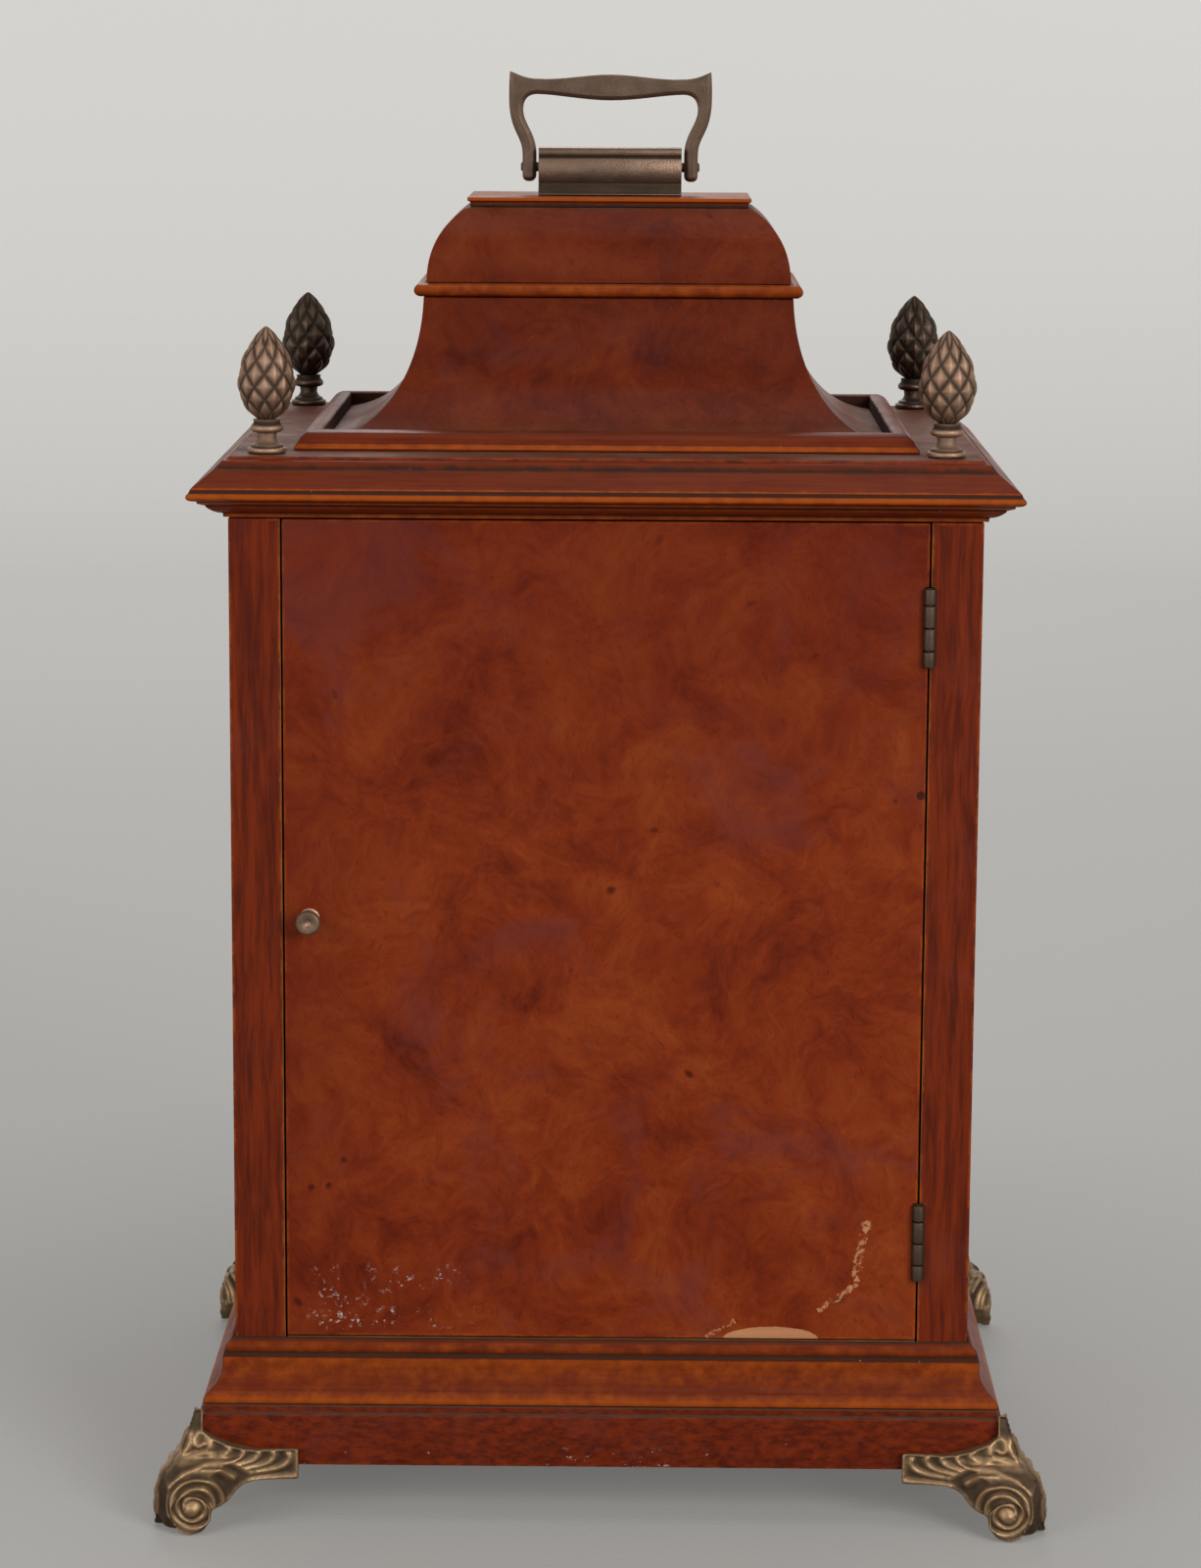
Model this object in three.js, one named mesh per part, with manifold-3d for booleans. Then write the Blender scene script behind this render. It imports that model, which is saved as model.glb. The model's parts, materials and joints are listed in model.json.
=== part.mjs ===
// Bracket clock: a veneered case with mitred mouldings, a caddy top with a folding carrying
// handle, four finials and four cast corner feet, a back door, a glazed arched front door, and a
// spring-driven movement with motion work, going train, anchor escapement and short pendulum.
// Millimetres, +Z up. The origin is on the floor under the middle of the case. The dial faces -Y
// and the back door faces +Y.
import * as THREE from 'three';
import { mergeVertices } from 'three/addons/utils/BufferGeometryUtils.js';
import Module from 'manifold-3d';

const wasm = await Module();
wasm.setup();

// ---- Driving dimensions ------------------------------------------------------------------

// Gap left between pieces that seat on each other, and the running clearance of a shaft.
const SEAT = 0.3;
const RUNNING = 0.3;

// Case carcass.
const CASE_WIDTH = 242;
const CASE_DEPTH = 200;
const SIDE_BOARD = 16.5;
const BODY_HEIGHT = 271.9;
const FLOOR_BOARD = 20.1;
const TOP_BOARD = 19.6;

// Plinth slab on the feet, with a set-back fillet along its top.
const FOOT_CLEARANCE = 19.8;
const PLINTH_SLAB = 17.2;
const PLINTH_OVERHANG = 11.4;
const PLINTH_FILLET = 2.8;
const PLINTH_FILLET_OVERHANG = 9.6;

// Base moulding and cornice: how far they stand out from the case, and their heights.
const BASE_MOULDING_OVERHANG = 10;
const BASE_MOULDING_HEIGHT = 20.5;
const CORNICE_OVERHANG = 12.3;
const CORNICE_HEIGHT = 18.2;

// Caddy top: each width is the half width over the front; the sides follow the case's depth. The
// frame stands back from the case's sides.
const FRAME_SETBACK = 19.7;
const FRAME_RAIL = 8.6;
const FRAME_HEIGHT = 6.4;
const SKIRT_TOP = 61.2;
const SKIRT_HEIGHT = 46.8;
const BEAD_HEIGHT = 4.4;
const BEAD_REACH = 3;
const DOME_HEIGHT = 24.1;
const DOME_FOOT = 60.3;
const DOME_TOP = 47.4;
const CAP_HEIGHT = 3;
const CAP_EDGE = 47.3;

// Carrying handle, its saddle and its pivot.
const SADDLE_HALF = 24.1;
const SADDLE_HEIGHT = 15.7;
const HANDLE_LEG_GAP = 0.9;
const HANDLE_LEG = 4.6;
const HANDLE_LEG_END = 4.8;
const HANDLE_RISE = 31.9;
const HANDLE_HORN = 34.2;
const HANDLE_THICKNESS = 7;
const HANDLE_BEVEL = 0.8;
const PIVOT_HEIGHT = 9;
const PIVOT_RADIUS = 1.6;

// Finials and feet.
const FINIAL_INSET = 11.7;
const FINIAL_HEIGHT = 40.4;
const FINIAL_RADIUS = 8.8;
const FINIAL_STEPS = 14;
const FINIAL_ROWS = 9;
const FINIAL_SCALE_RISE = 0.55;
const FINIAL_SINK = 0.6;
const PEDESTAL_HEIGHT = 10.4;
const PEDESTAL_RADIUS = 6.2;
const FOOT_HEIGHT = 39.4;
const FOOT_REACH = 14.2;
const FOOT_FLANGE = 33;
const FOOT_FLANGE_WALL = 3;
const FOOT_FLANGE_DROP = 4.2;
const FOOT_LUG = 17;
const FOOT_DRUM_RADIUS = 7.2;
const FOOT_EYE_RADIUS = 3.9;
const FOOT_EYE_RISE = 0.7;

// Doors, their hinges and knobs. The upper hinge's middle is measured down from the door's top, the
// lower one's and the knob's up from its bottom.
const DOOR_THICKNESS = 17;
const DOOR_SIDE_GAP = 0.7;
const DOOR_END_GAP = 0.5;
const HINGE_LENGTH = 25.5;
const HINGE_UPPER_MIDDLE = 33.6;
const HINGE_LOWER_MIDDLE = 33.4;
const KNUCKLE_RADIUS = 2.1;
const HINGE_PIN_RADIUS = 0.9;
const HINGE_STAND_OFF = 1;
const HINGE_LEAF_WALL = 1;
const HINGE_LEAF_DEPTH = 15;
const KNOB_RADIUS = 4;
const KNOB_LENGTH = 9;
const KNOB_EDGE_INSET = 8.2;
const KNOB_HEIGHT = 140.7;

// Arched window of the front door, its glass and the dial behind it. Stiles and rails are what the
// window leaves of the door beside, below and above it.
const DOOR_STILE = 19.8;
const DOOR_BOTTOM_RAIL = 22;
const DOOR_TOP_RAIL = 23.1;
const WINDOW_ARCH = 58;
const GLASS_WALL = 2;
const GLASS_LAP = 4;
const GLASS_REBATE = 5;
const DIAL_MARGIN = 8;
const DIAL_WALL = 2;
const DIAL_BEHIND_DOOR = 11;
const DIAL_FOOT = 10;
const DIAL_FOOT_RADIUS = 2.2;
const DIAL_FOOT_INSET = 26;
const CHAPTER_MARGIN = 6;
const CHAPTER_WIDTH = 20;
const CHAPTER_WALL = 1.2;
const ARCH_BOSS_RADIUS = 26;
const ARCH_BOSS_GAP = 2;

// Movement frame.
const PLATE_WALL = 2.5;
const PLATE_HALF = 50;
const PLATE_ABOVE_PALLETS = 12.4;
const PLATE_BELOW_CENTRE = 66.3;
const PLATE_SPACING = 40;
const PILLAR_RADIUS = 3.5;
const PILLAR_INSET = 8;
const SEAT_BOARD_WALL = 8.3;
const SEAT_BOARD_SIDE_GAP = 6.5;
const SEAT_BOARD_LIP = 2;
const SEAT_BOARD_LEG = 10;
const COCK_HALF = 17;
const COCK_LEG = 5;
const COCK_STAND_OFF = 9;
const COCK_WALL = 3;

// Wheelwork: tooth counts, modules, and the arbors that carry them.
const GREAT_TEETH = 48;
const CENTRE_PINION_TEETH = 12;
const GREAT_MODULE = 0.96;
const CENTRE_TEETH = 60;
const THIRD_PINION_TEETH = 6;
const CENTRE_MODULE = 0.8;
const THIRD_TEETH = 72;
const ESCAPE_PINION_TEETH = 6;
const THIRD_MODULE = 0.66;
const ESCAPE_TEETH = 39;
const ESCAPE_RADIUS = 12;
const CANNON_TEETH = 10;
const MINUTE_WHEEL_TEETH = 30;
const CANNON_MODULE = 1.2;
const MINUTE_PINION_TEETH = 8;
const HOUR_WHEEL_TEETH = 32;
const BARREL_X = -22.5;
const BARREL_RADIUS = 19;
const THIRD_X = 6;
const ARBOR_RADIUS = 1.8;
const FINE_ARBOR_RADIUS = 1.1;
const PIVOT_END_RADIUS = 0.8;
const CANNON_WALL = 0.9;
const WINDING_RADIUS = 2.8;
const WINDING_SQUARE = 4.4;
const RATCHET_TEETH = 20;
const RATCHET_RADIUS = 7.5;

// Escapement and pendulum.
const PALLET_RISE = 4.5;
const PALLET_CLEARANCE = 1.3;
const PALLET_SPAN_TEETH = 9.5;
const CRUTCH_LENGTH = 31;
const CRUTCH_HALF = 1.6;
const PENDULUM_LENGTH = 147;
const PENDULUM_BEHIND_PLATE = 17;
const PENDULUM_FLOOR_GAP = 4.24;
const SPRING_HALF = 2.6;
const SPRING_HALF_WALL = 0.15;
const SPRING_BLOCK_HALF = 3.6;
const ROD_RADIUS = 1.5;
const ROD_TIP = 1;
const RATING_NUT = 2.4;
const RATING_NUT_RADIUS = 3.4;
const BOB_RADIUS = 19;
const BOB_HALF_WALL = 5.5;

// Hands, set at ten past ten. Each tip ends short of its edge of the chapter ring.
const MINUTE_HAND_SHORT = 6;
const HOUR_HAND_SHORT = 8;
const HAND_STEP = 3;
const HAND_WALL = 0.8;
const MINUTES_SHOWN = 10;
const HOURS_SHOWN = 10;

// ---- Levels and places worked out from the driving dimensions ------------------------------

const caseX = CASE_WIDTH / 2;
const caseY = CASE_DEPTH / 2;
const innerX = caseX - SIDE_BOARD;
const plinthTop = FOOT_CLEARANCE + PLINTH_SLAB + PLINTH_FILLET;
const baseZ = plinthTop + SEAT;
const bodyZ = baseZ + BASE_MOULDING_HEIGHT;
const bodyTop = bodyZ + BODY_HEIGHT;
const deckZ = bodyTop + TOP_BOARD;
const frameZ = deckZ + SEAT;
const beadZ = frameZ + SKIRT_HEIGHT + SEAT;
const domeZ = beadZ + BEAD_HEIGHT + SEAT;
const capZ = domeZ + DOME_HEIGHT + SEAT;
const saddleZ = capZ + CAP_HEIGHT + SEAT;
const pivotZ = saddleZ + PIVOT_HEIGHT;
const doorZ = bodyZ + SEAT;
const doorTop = bodyTop - DOOR_END_GAP;
const doorHalf = innerX - DOOR_SIDE_GAP;
const dialFrontY = -caseY + DOOR_THICKNESS + DIAL_BEHIND_DOOR;
const dialBackY = dialFrontY + DIAL_WALL;
const frontPlateY = dialBackY + DIAL_FOOT;
const frontPlateBackY = frontPlateY + PLATE_WALL;
const backPlateY = frontPlateBackY + PLATE_SPACING;
const backPlateBackY = backPlateY + PLATE_WALL;
const pendulumY = backPlateBackY + PENDULUM_BEHIND_PLATE;

// The pendulum hangs just clear of the case floor, and the train between the pallets and the hands
// then gives the height of the dial's centre.
const pitchDistance = (a, b, module) => ((a + b) / 2) * module;
const thirdDistance = pitchDistance(CENTRE_TEETH, THIRD_PINION_TEETH, CENTRE_MODULE);
const thirdRise = Math.sqrt(thirdDistance ** 2 - THIRD_X ** 2);
const escapeDistance = pitchDistance(THIRD_TEETH, ESCAPE_PINION_TEETH, THIRD_MODULE);
const escapeRise = Math.sqrt(escapeDistance ** 2 - THIRD_X ** 2);
const palletDistance = ESCAPE_RADIUS + PALLET_RISE;
const floorTop = baseZ + FLOOR_BOARD;
const bobZ = floorTop + PENDULUM_FLOOR_GAP + ROD_TIP + RATING_NUT + SEAT + BOB_RADIUS;
const palletZ = bobZ + PENDULUM_LENGTH;
const dialZ = palletZ - palletDistance - escapeRise - thirdRise;
const plateZ = dialZ - PLATE_BELOW_CENTRE;
const plateTop = palletZ + PLATE_ABOVE_PALLETS;
const seatBoardTop = plateZ - SEAT;

// The window and the chapter ring, which fills the smaller of the window's two clear widths.
const windowHalf = doorHalf - DOOR_STILE;
const windowSill = doorZ + DOOR_BOTTOM_RAIL;
const windowSpring = doorTop - DOOR_TOP_RAIL - WINDOW_ARCH;
const chapterOuter = Math.min(windowHalf, windowSpring - dialZ, dialZ - windowSill) - CHAPTER_MARGIN;
const chapterInner = chapterOuter - CHAPTER_WIDTH;

// Arbor places in the plates, as (x, z).
const centreArbor = new THREE.Vector2(0, dialZ);
const greatDistance = pitchDistance(GREAT_TEETH, CENTRE_PINION_TEETH, GREAT_MODULE);
const barrelArbor = new THREE.Vector2(
  BARREL_X, dialZ - Math.sqrt(greatDistance ** 2 - BARREL_X ** 2));
const thirdArbor = new THREE.Vector2(THIRD_X, dialZ + thirdRise);
const escapeArbor = new THREE.Vector2(0, thirdArbor.y + escapeRise);
const palletArbor = new THREE.Vector2(0, palletZ);
const motionDistance = pitchDistance(CANNON_TEETH, MINUTE_WHEEL_TEETH, CANNON_MODULE);
const minuteArbor = new THREE.Vector2(0, dialZ + motionDistance);
const HOUR_MODULE = (2 * motionDistance) / (MINUTE_PINION_TEETH + HOUR_WHEEL_TEETH);

// Where each wheel lies along its arbor, from one face to the other.
const greatWheelY = [frontPlateBackY + 2, frontPlateBackY + 5];
const barrelY = [greatWheelY[1], backPlateY - 9.5];
const centreWheelY = [backPlateY - 7.5, backPlateY - 5.5];
const thirdWheelY = [frontPlateBackY + 10, frontPlateBackY + 11.5];
const escapeWheelY = [frontPlateBackY + 20, frontPlateBackY + 21.2];
const cannonPinionY = [frontPlateY - 3.2, frontPlateY - 1.2];
const hourWheelY = [frontPlateY - 6.2, frontPlateY - 4.2];
const hourHandY = [dialFrontY - 4.3, dialFrontY - 4.3 + HAND_WALL];
const minuteHandY = hourHandY.map((y) => y - HAND_STEP);

// ---- Materials -------------------------------------------------------------------------------

const finish = (color, roughness, metalness, more = {}) =>
  new THREE.MeshStandardMaterial({ color, roughness, metalness, ...more });
const burlVeneer = finish(0x7c2c16, 0.35, 0);
const crossbanding = finish(0x54241a, 0.4, 0);
const polishedMoulding = finish(0x7a3612, 0.35, 0);
const carcassWood = finish(0x8a6238, 0.7, 0);
const agedBronze = finish(0x5e5040, 0.45, 0.9);
const darkBronze = finish(0x3a2c22, 0.45, 0.9);
const brass = finish(0xb08d4a, 0.35, 1);
const steel = finish(0x8b8f94, 0.35, 1);
const bluedSteel = finish(0x1a2238, 0.3, 1);
const silvered = finish(0xc9c7be, 0.45, 0.6);
const clearGlass = finish(0xdfe8e6, 0.05, 0, { transparent: true, opacity: 0.3 });

// ---- Solid modelling helpers -----------------------------------------------------------------

const asSolid = (geometry) => {
  const bare = geometry.clone();
  bare.deleteAttribute('normal');
  bare.deleteAttribute('uv');
  const merged = mergeVertices(bare, 1e-4);
  return new wasm.Manifold(new wasm.Mesh({
    numProp: 3,
    vertProperties: merged.attributes.position.array,
    triVerts: new Uint32Array(merged.index.array),
  }));
};

const asGeometry = (solid) => {
  const mesh = solid.getMesh();
  const geometry = new THREE.BufferGeometry();
  geometry.setAttribute('position', new THREE.BufferAttribute(mesh.vertProperties, 3));
  geometry.setIndex(new THREE.BufferAttribute(mesh.triVerts, 1));
  geometry.computeVertexNormals();
  return geometry;
};

const join = (...pieces) => asGeometry(pieces.map(asSolid).reduce((all, one) => all.add(one)));
const cut = (base, ...tools) =>
  asGeometry(tools.map(asSolid).reduce((left, tool) => left.subtract(tool), asSolid(base)));
const common = (...pieces) =>
  asGeometry(pieces.map(asSolid).reduce((all, one) => all.intersect(one)));

// Turns a closed mesh the right way out: its signed volume has to be positive.
function outward(geometry) {
  const position = geometry.attributes.position;
  const index = geometry.index.array;
  const [a, b, c] = [new THREE.Vector3(), new THREE.Vector3(), new THREE.Vector3()];
  let volume = 0;
  for (let i = 0; i < index.length; i += 3) {
    a.fromBufferAttribute(position, index[i]);
    b.fromBufferAttribute(position, index[i + 1]);
    c.fromBufferAttribute(position, index[i + 2]);
    volume += a.dot(b.cross(c));
  }
  if (volume < 0) {
    for (let i = 0; i < index.length; i += 3) [index[i], index[i + 1]] = [index[i + 1], index[i]];
  }
  geometry.computeVertexNormals();
  return geometry;
}

const box = (x0, x1, y0, y1, z0, z1) =>
  new THREE.BoxGeometry(x1 - x0, y1 - y0, z1 - z0)
    .translate((x0 + x1) / 2, (y0 + y1) / 2, (z0 + z1) / 2);

// Round bar between two planes across its axis.
const barAlongY = (radius, y0, y1, sides = 10) =>
  new THREE.CylinderGeometry(radius, radius, y1 - y0, sides).translate(0, (y0 + y1) / 2, 0);
const barAlongX = (radius, x0, x1, sides = 16) =>
  new THREE.CylinderGeometry(radius, radius, x1 - x0, sides)
    .rotateZ(Math.PI / 2).translate((x0 + x1) / 2, 0, 0);
const barAlongZ = (radius, z0, z1, sides = 16) =>
  new THREE.CylinderGeometry(radius, radius, z1 - z0, sides)
    .rotateX(Math.PI / 2).translate(0, 0, (z0 + z1) / 2);

// A shape drawn in x and z, given a thickness from y0 to y1.
const plateXZ = (shape, y0, y1, curveSegments = 8) =>
  new THREE.ExtrudeGeometry(shape, { depth: y1 - y0, bevelEnabled: false, curveSegments })
    .rotateX(Math.PI / 2).translate(0, y1, 0);
// A shape drawn in y and z, given a length from x0 to x1.
const barYZ = (shape, x0, x1, curveSegments = 8) =>
  new THREE.ExtrudeGeometry(shape, { depth: x1 - x0, bevelEnabled: false, curveSegments })
    .rotateX(Math.PI / 2).rotateZ(Math.PI / 2).translate(x0, 0, 0);
// A shape drawn in x and y, given a height from z0 to z1.
const plateXY = (shape, z0, z1, curveSegments = 8) =>
  new THREE.ExtrudeGeometry(shape, { depth: z1 - z0, bevelEnabled: false, curveSegments })
    .translate(0, 0, z0);

// A turned piece on the Y axis, from [radius, y] pairs; stand() lifts it onto the Z axis.
const turned = (pairs, segments = 16) =>
  outward(mergeVertices(bareGeometry(new THREE.LatheGeometry(
    pairs.map(([r, y]) => new THREE.Vector2(r, y)), segments)), 1e-4));
const stand = (geometry) => geometry.rotateX(Math.PI / 2);

function bareGeometry(geometry) {
  geometry.deleteAttribute('normal');
  geometry.deleteAttribute('uv');
  return geometry;
}

// Carries a section round a rectangle with mitred corners. A section point's x is its distance out
// from the rectangle. A closed section makes a frame; an open one makes a solid block whose first
// and last points are its bottom and top edges.
function mitred(section, halfX, halfY, closed) {
  const corners = [[-1, -1], [1, -1], [1, 1], [-1, 1]];
  const positions = [];
  for (const [sx, sy] of corners) {
    for (const p of section) positions.push(sx * (halfX + p.x), sy * (halfY + p.x), p.y);
  }
  const count = section.length;
  const index = [];
  const steps = closed ? count : count - 1;
  for (let side = 0; side < 4; side += 1) {
    const here = side * count;
    const next = ((side + 1) % 4) * count;
    for (let i = 0; i < steps; i += 1) {
      const j = (i + 1) % count;
      index.push(here + i, next + i, next + j, here + i, next + j, here + j);
    }
  }
  if (!closed) {
    const top = count - 1;
    index.push(0, 2 * count, count, 0, 3 * count, 2 * count);
    index.push(top, count + top, 2 * count + top, top, 2 * count + top, 3 * count + top);
  }
  const geometry = new THREE.BufferGeometry();
  geometry.setAttribute('position', new THREE.Float32BufferAttribute(positions, 3));
  geometry.setIndex(index);
  return outward(geometry);
}

// Points of a path drawn with lines and curves, without doubled neighbours.
const outline = (path, divisions = 4) =>
  path.getPoints(divisions).filter((p, i, all) => i === 0 || p.distanceTo(all[i - 1]) > 1e-3);

const clock = new THREE.Group();
function add(name, geometry, material) {
  const mesh = new THREE.Mesh(geometry, material);
  mesh.name = name;
  clock.add(mesh);
  return mesh;
}

// ---- Case ---------------------------------------------------------------------------------------

function plinth() {
  const slabTop = FOOT_CLEARANCE + PLINTH_SLAB;
  const section = [
    new THREE.Vector2(PLINTH_OVERHANG, FOOT_CLEARANCE),
    new THREE.Vector2(PLINTH_OVERHANG, slabTop),
    new THREE.Vector2(PLINTH_FILLET_OVERHANG, slabTop),
    new THREE.Vector2(PLINTH_FILLET_OVERHANG, plinthTop),
  ];
  return mitred(section, caseX, caseY, false);
}

// From the bottom: a lip, a deep hollow sweeping up to an upright neck, a fillet and a bead.
function baseMoulding() {
  const out = BASE_MOULDING_OVERHANG;
  const [z, h] = [baseZ, BASE_MOULDING_HEIGHT];
  const path = new THREE.Path();
  path.moveTo(SEAT, z);
  path.lineTo(out, z);
  path.lineTo(out, z + 0.08 * h);
  path.quadraticCurveTo(0.93 * out, z + 0.16 * h, 0.78 * out, z + 0.2 * h);
  path.quadraticCurveTo(0.42 * out, z + 0.34 * h, 0.4 * out, z + 0.54 * h);
  path.lineTo(0.4 * out, z + 0.7 * h);
  path.lineTo(0.24 * out, z + 0.74 * h);
  path.quadraticCurveTo(0.36 * out, z + 0.84 * h, 0.2 * out, z + 0.93 * h);
  path.lineTo(0.06 * out, z + h - SEAT);
  path.lineTo(SEAT, z + h - SEAT);
  return mitred(outline(path), caseX, caseY, true);
}

// From the bottom: a cove, a groove, the widest nosing, a step and a long ovolo to the deck.
function cornice() {
  const out = CORNICE_OVERHANG;
  const [z, h] = [bodyTop + SEAT, CORNICE_HEIGHT];
  const path = new THREE.Path();
  path.moveTo(SEAT, z);
  path.lineTo(0.06 * out, z);
  path.quadraticCurveTo(0.3 * out, z + 0.06 * h, 0.52 * out, z + 0.2 * h);
  path.lineTo(0.74 * out, z + 0.27 * h);
  path.lineTo(0.74 * out, z + 0.31 * h);
  path.quadraticCurveTo(0.98 * out, z + 0.34 * h, out, z + 0.46 * h);
  path.lineTo(0.9 * out, z + 0.52 * h);
  path.lineTo(0.9 * out, z + 0.55 * h);
  path.quadraticCurveTo(0.56 * out, z + 0.7 * h, 0.34 * out, z + 0.84 * h);
  path.lineTo(0.22 * out, z + 0.88 * h);
  path.quadraticCurveTo(0.16 * out, z + 0.98 * h, 0.06 * out, z + h);
  path.lineTo(SEAT, z + h);
  return mitred(outline(path), caseX, caseY, true);
}

// Recess for a hinge leaf in a board's edge and round notch for the knuckles, at the back door.
const hingeX = -(innerX - DOOR_SIDE_GAP / 2);
const hingeY = caseY + HINGE_STAND_OFF;
const hingeRecess = (middle) => {
  const half = HINGE_LENGTH / 2 + SEAT;
  const wall = HINGE_LEAF_WALL + 0.1 + SEAT;
  const leaf = box(hingeX - wall, hingeX + wall, hingeY - HINGE_LEAF_DEPTH - SEAT - KNUCKLE_RADIUS,
    hingeY, middle - half, middle + half);
  const notch = barAlongZ(KNUCKLE_RADIUS + SEAT, middle - half, middle + half, 8)
    .translate(hingeX, hingeY, 0);
  return [leaf, notch];
};
const hingeMiddles = { upper: doorTop - HINGE_UPPER_MIDDLE, lower: doorZ + HINGE_LOWER_MIDDLE };
const backRecesses = () => Object.values(hingeMiddles).flatMap(hingeRecess);
const turnedRound = (geometry) => geometry.rotateZ(Math.PI);

// The board on the back door's hinge side; the other one is the same board turned round, because
// the front door hangs on it.
const sideBoard = () =>
  cut(box(-caseX, -innerX, -caseY, caseY, baseZ, bodyTop - SEAT), ...backRecesses());

function caddyFrame() {
  const base = -FRAME_SETBACK;
  const [z, h, rail] = [frameZ, FRAME_HEIGHT, FRAME_RAIL];
  const path = new THREE.Path();
  path.moveTo(base, z);
  path.lineTo(base, z + 0.1 * h);
  path.quadraticCurveTo(base - 0.02 * rail, z + 0.3 * h, base - 0.14 * rail, z + 0.36 * h);
  path.quadraticCurveTo(base - 0.22 * rail, z + 0.78 * h, base - 0.62 * rail, z + 0.94 * h);
  path.quadraticCurveTo(base - 0.8 * rail, z + h, base - 0.92 * rail, z + 0.94 * h);
  path.lineTo(base - rail, z + 0.84 * h);
  path.lineTo(base - rail, z);
  return mitred(outline(path), caseX, caseY, true);
}

function caddySkirt() {
  const toe = caseX - FRAME_SETBACK - FRAME_RAIL - SEAT;
  const z = frameZ;
  const lip = 1.2;
  const rise = SKIRT_HEIGHT - lip;
  const path = new THREE.Path();
  path.moveTo(toe - caseX, z);
  path.lineTo(toe - caseX, z + lip);
  path.bezierCurveTo(
    SKIRT_TOP + 0.43 * (toe - SKIRT_TOP) - caseX, z + lip + 0.06 * rise,
    SKIRT_TOP + 0.03 * (toe - SKIRT_TOP) - caseX, z + lip + 0.44 * rise,
    SKIRT_TOP - caseX, z + SKIRT_HEIGHT);
  return mitred(outline(path, 8), caseX, caseY, false);
}

function caddyBead() {
  const edge = SKIRT_TOP - caseX;
  const path = new THREE.Path();
  path.moveTo(edge, beadZ);
  path.bezierCurveTo(edge + 1.33 * BEAD_REACH, beadZ, edge + 1.33 * BEAD_REACH, beadZ + BEAD_HEIGHT,
    edge, beadZ + BEAD_HEIGHT);
  return mitred(outline(path, 8), caseX, caseY, false);
}

function caddyDome() {
  const path = new THREE.Path();
  path.moveTo(DOME_FOOT - caseX, domeZ);
  path.quadraticCurveTo(DOME_FOOT - caseX, domeZ + 0.65 * DOME_HEIGHT,
    DOME_TOP - caseX, domeZ + DOME_HEIGHT);
  return mitred(outline(path, 8), caseX, caseY, false);
}

// A thin slab with a hollow under its square top edge.
function caddyCap() {
  const edge = CAP_EDGE - caseX;
  const path = new THREE.Path();
  path.moveTo(edge - 0.9, capZ);
  path.quadraticCurveTo(edge - 1.3, capZ + 0.5 * CAP_HEIGHT, edge, capZ + 0.6 * CAP_HEIGHT);
  path.lineTo(edge, capZ + CAP_HEIGHT);
  return mitred(outline(path), caseX, caseY, false);
}

add('plinth', plinth(), crossbanding);
add('base_moulding', baseMoulding(), polishedMoulding);
add('case_floor', box(-innerX + SEAT, innerX - SEAT, -caseY, caseY, baseZ,
  baseZ + FLOOR_BOARD), carcassWood);
add('case_side_left', sideBoard(), burlVeneer);
add('case_side_right', turnedRound(sideBoard()), burlVeneer);
add('case_top', box(-caseX, caseX, -caseY, caseY, bodyTop, deckZ), crossbanding);
add('cornice', cornice(), polishedMoulding);
add('caddy_frame', caddyFrame(), polishedMoulding);
add('caddy_skirt', caddySkirt(), burlVeneer);
add('caddy_bead', caddyBead(), polishedMoulding);
add('caddy_dome', caddyDome(), burlVeneer);
add('caddy_cap', caddyCap(), polishedMoulding);

// ---- Handle ------------------------------------------------------------------------------------

// Half outline of the saddle's end, mirrored: a spread foot, a waist and a rolled top.
function handleSaddle() {
  const [z, h] = [saddleZ, SADDLE_HEIGHT];
  const shape = new THREE.Shape();
  shape.moveTo(-11, z);
  shape.lineTo(11, z);
  shape.quadraticCurveTo(6.6, z + 0.06 * h, 5.6, z + 0.26 * h);
  shape.quadraticCurveTo(8.2, z + 0.5 * h, 5.8, z + 0.74 * h);
  shape.quadraticCurveTo(6.2, z + h, 0, z + h);
  shape.quadraticCurveTo(-6.2, z + h, -5.8, z + 0.74 * h);
  shape.quadraticCurveTo(-8.2, z + 0.5 * h, -5.6, z + 0.26 * h);
  shape.quadraticCurveTo(-6.6, z + 0.06 * h, -11, z);
  const block = barYZ(shape, -SADDLE_HALF, SADDLE_HALF, 6);
  return cut(block, barAlongX(PIVOT_RADIUS + RUNNING, -HANDLE_HORN, HANDLE_HORN, 12)
    .translate(0, 0, pivotZ));
}

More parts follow.
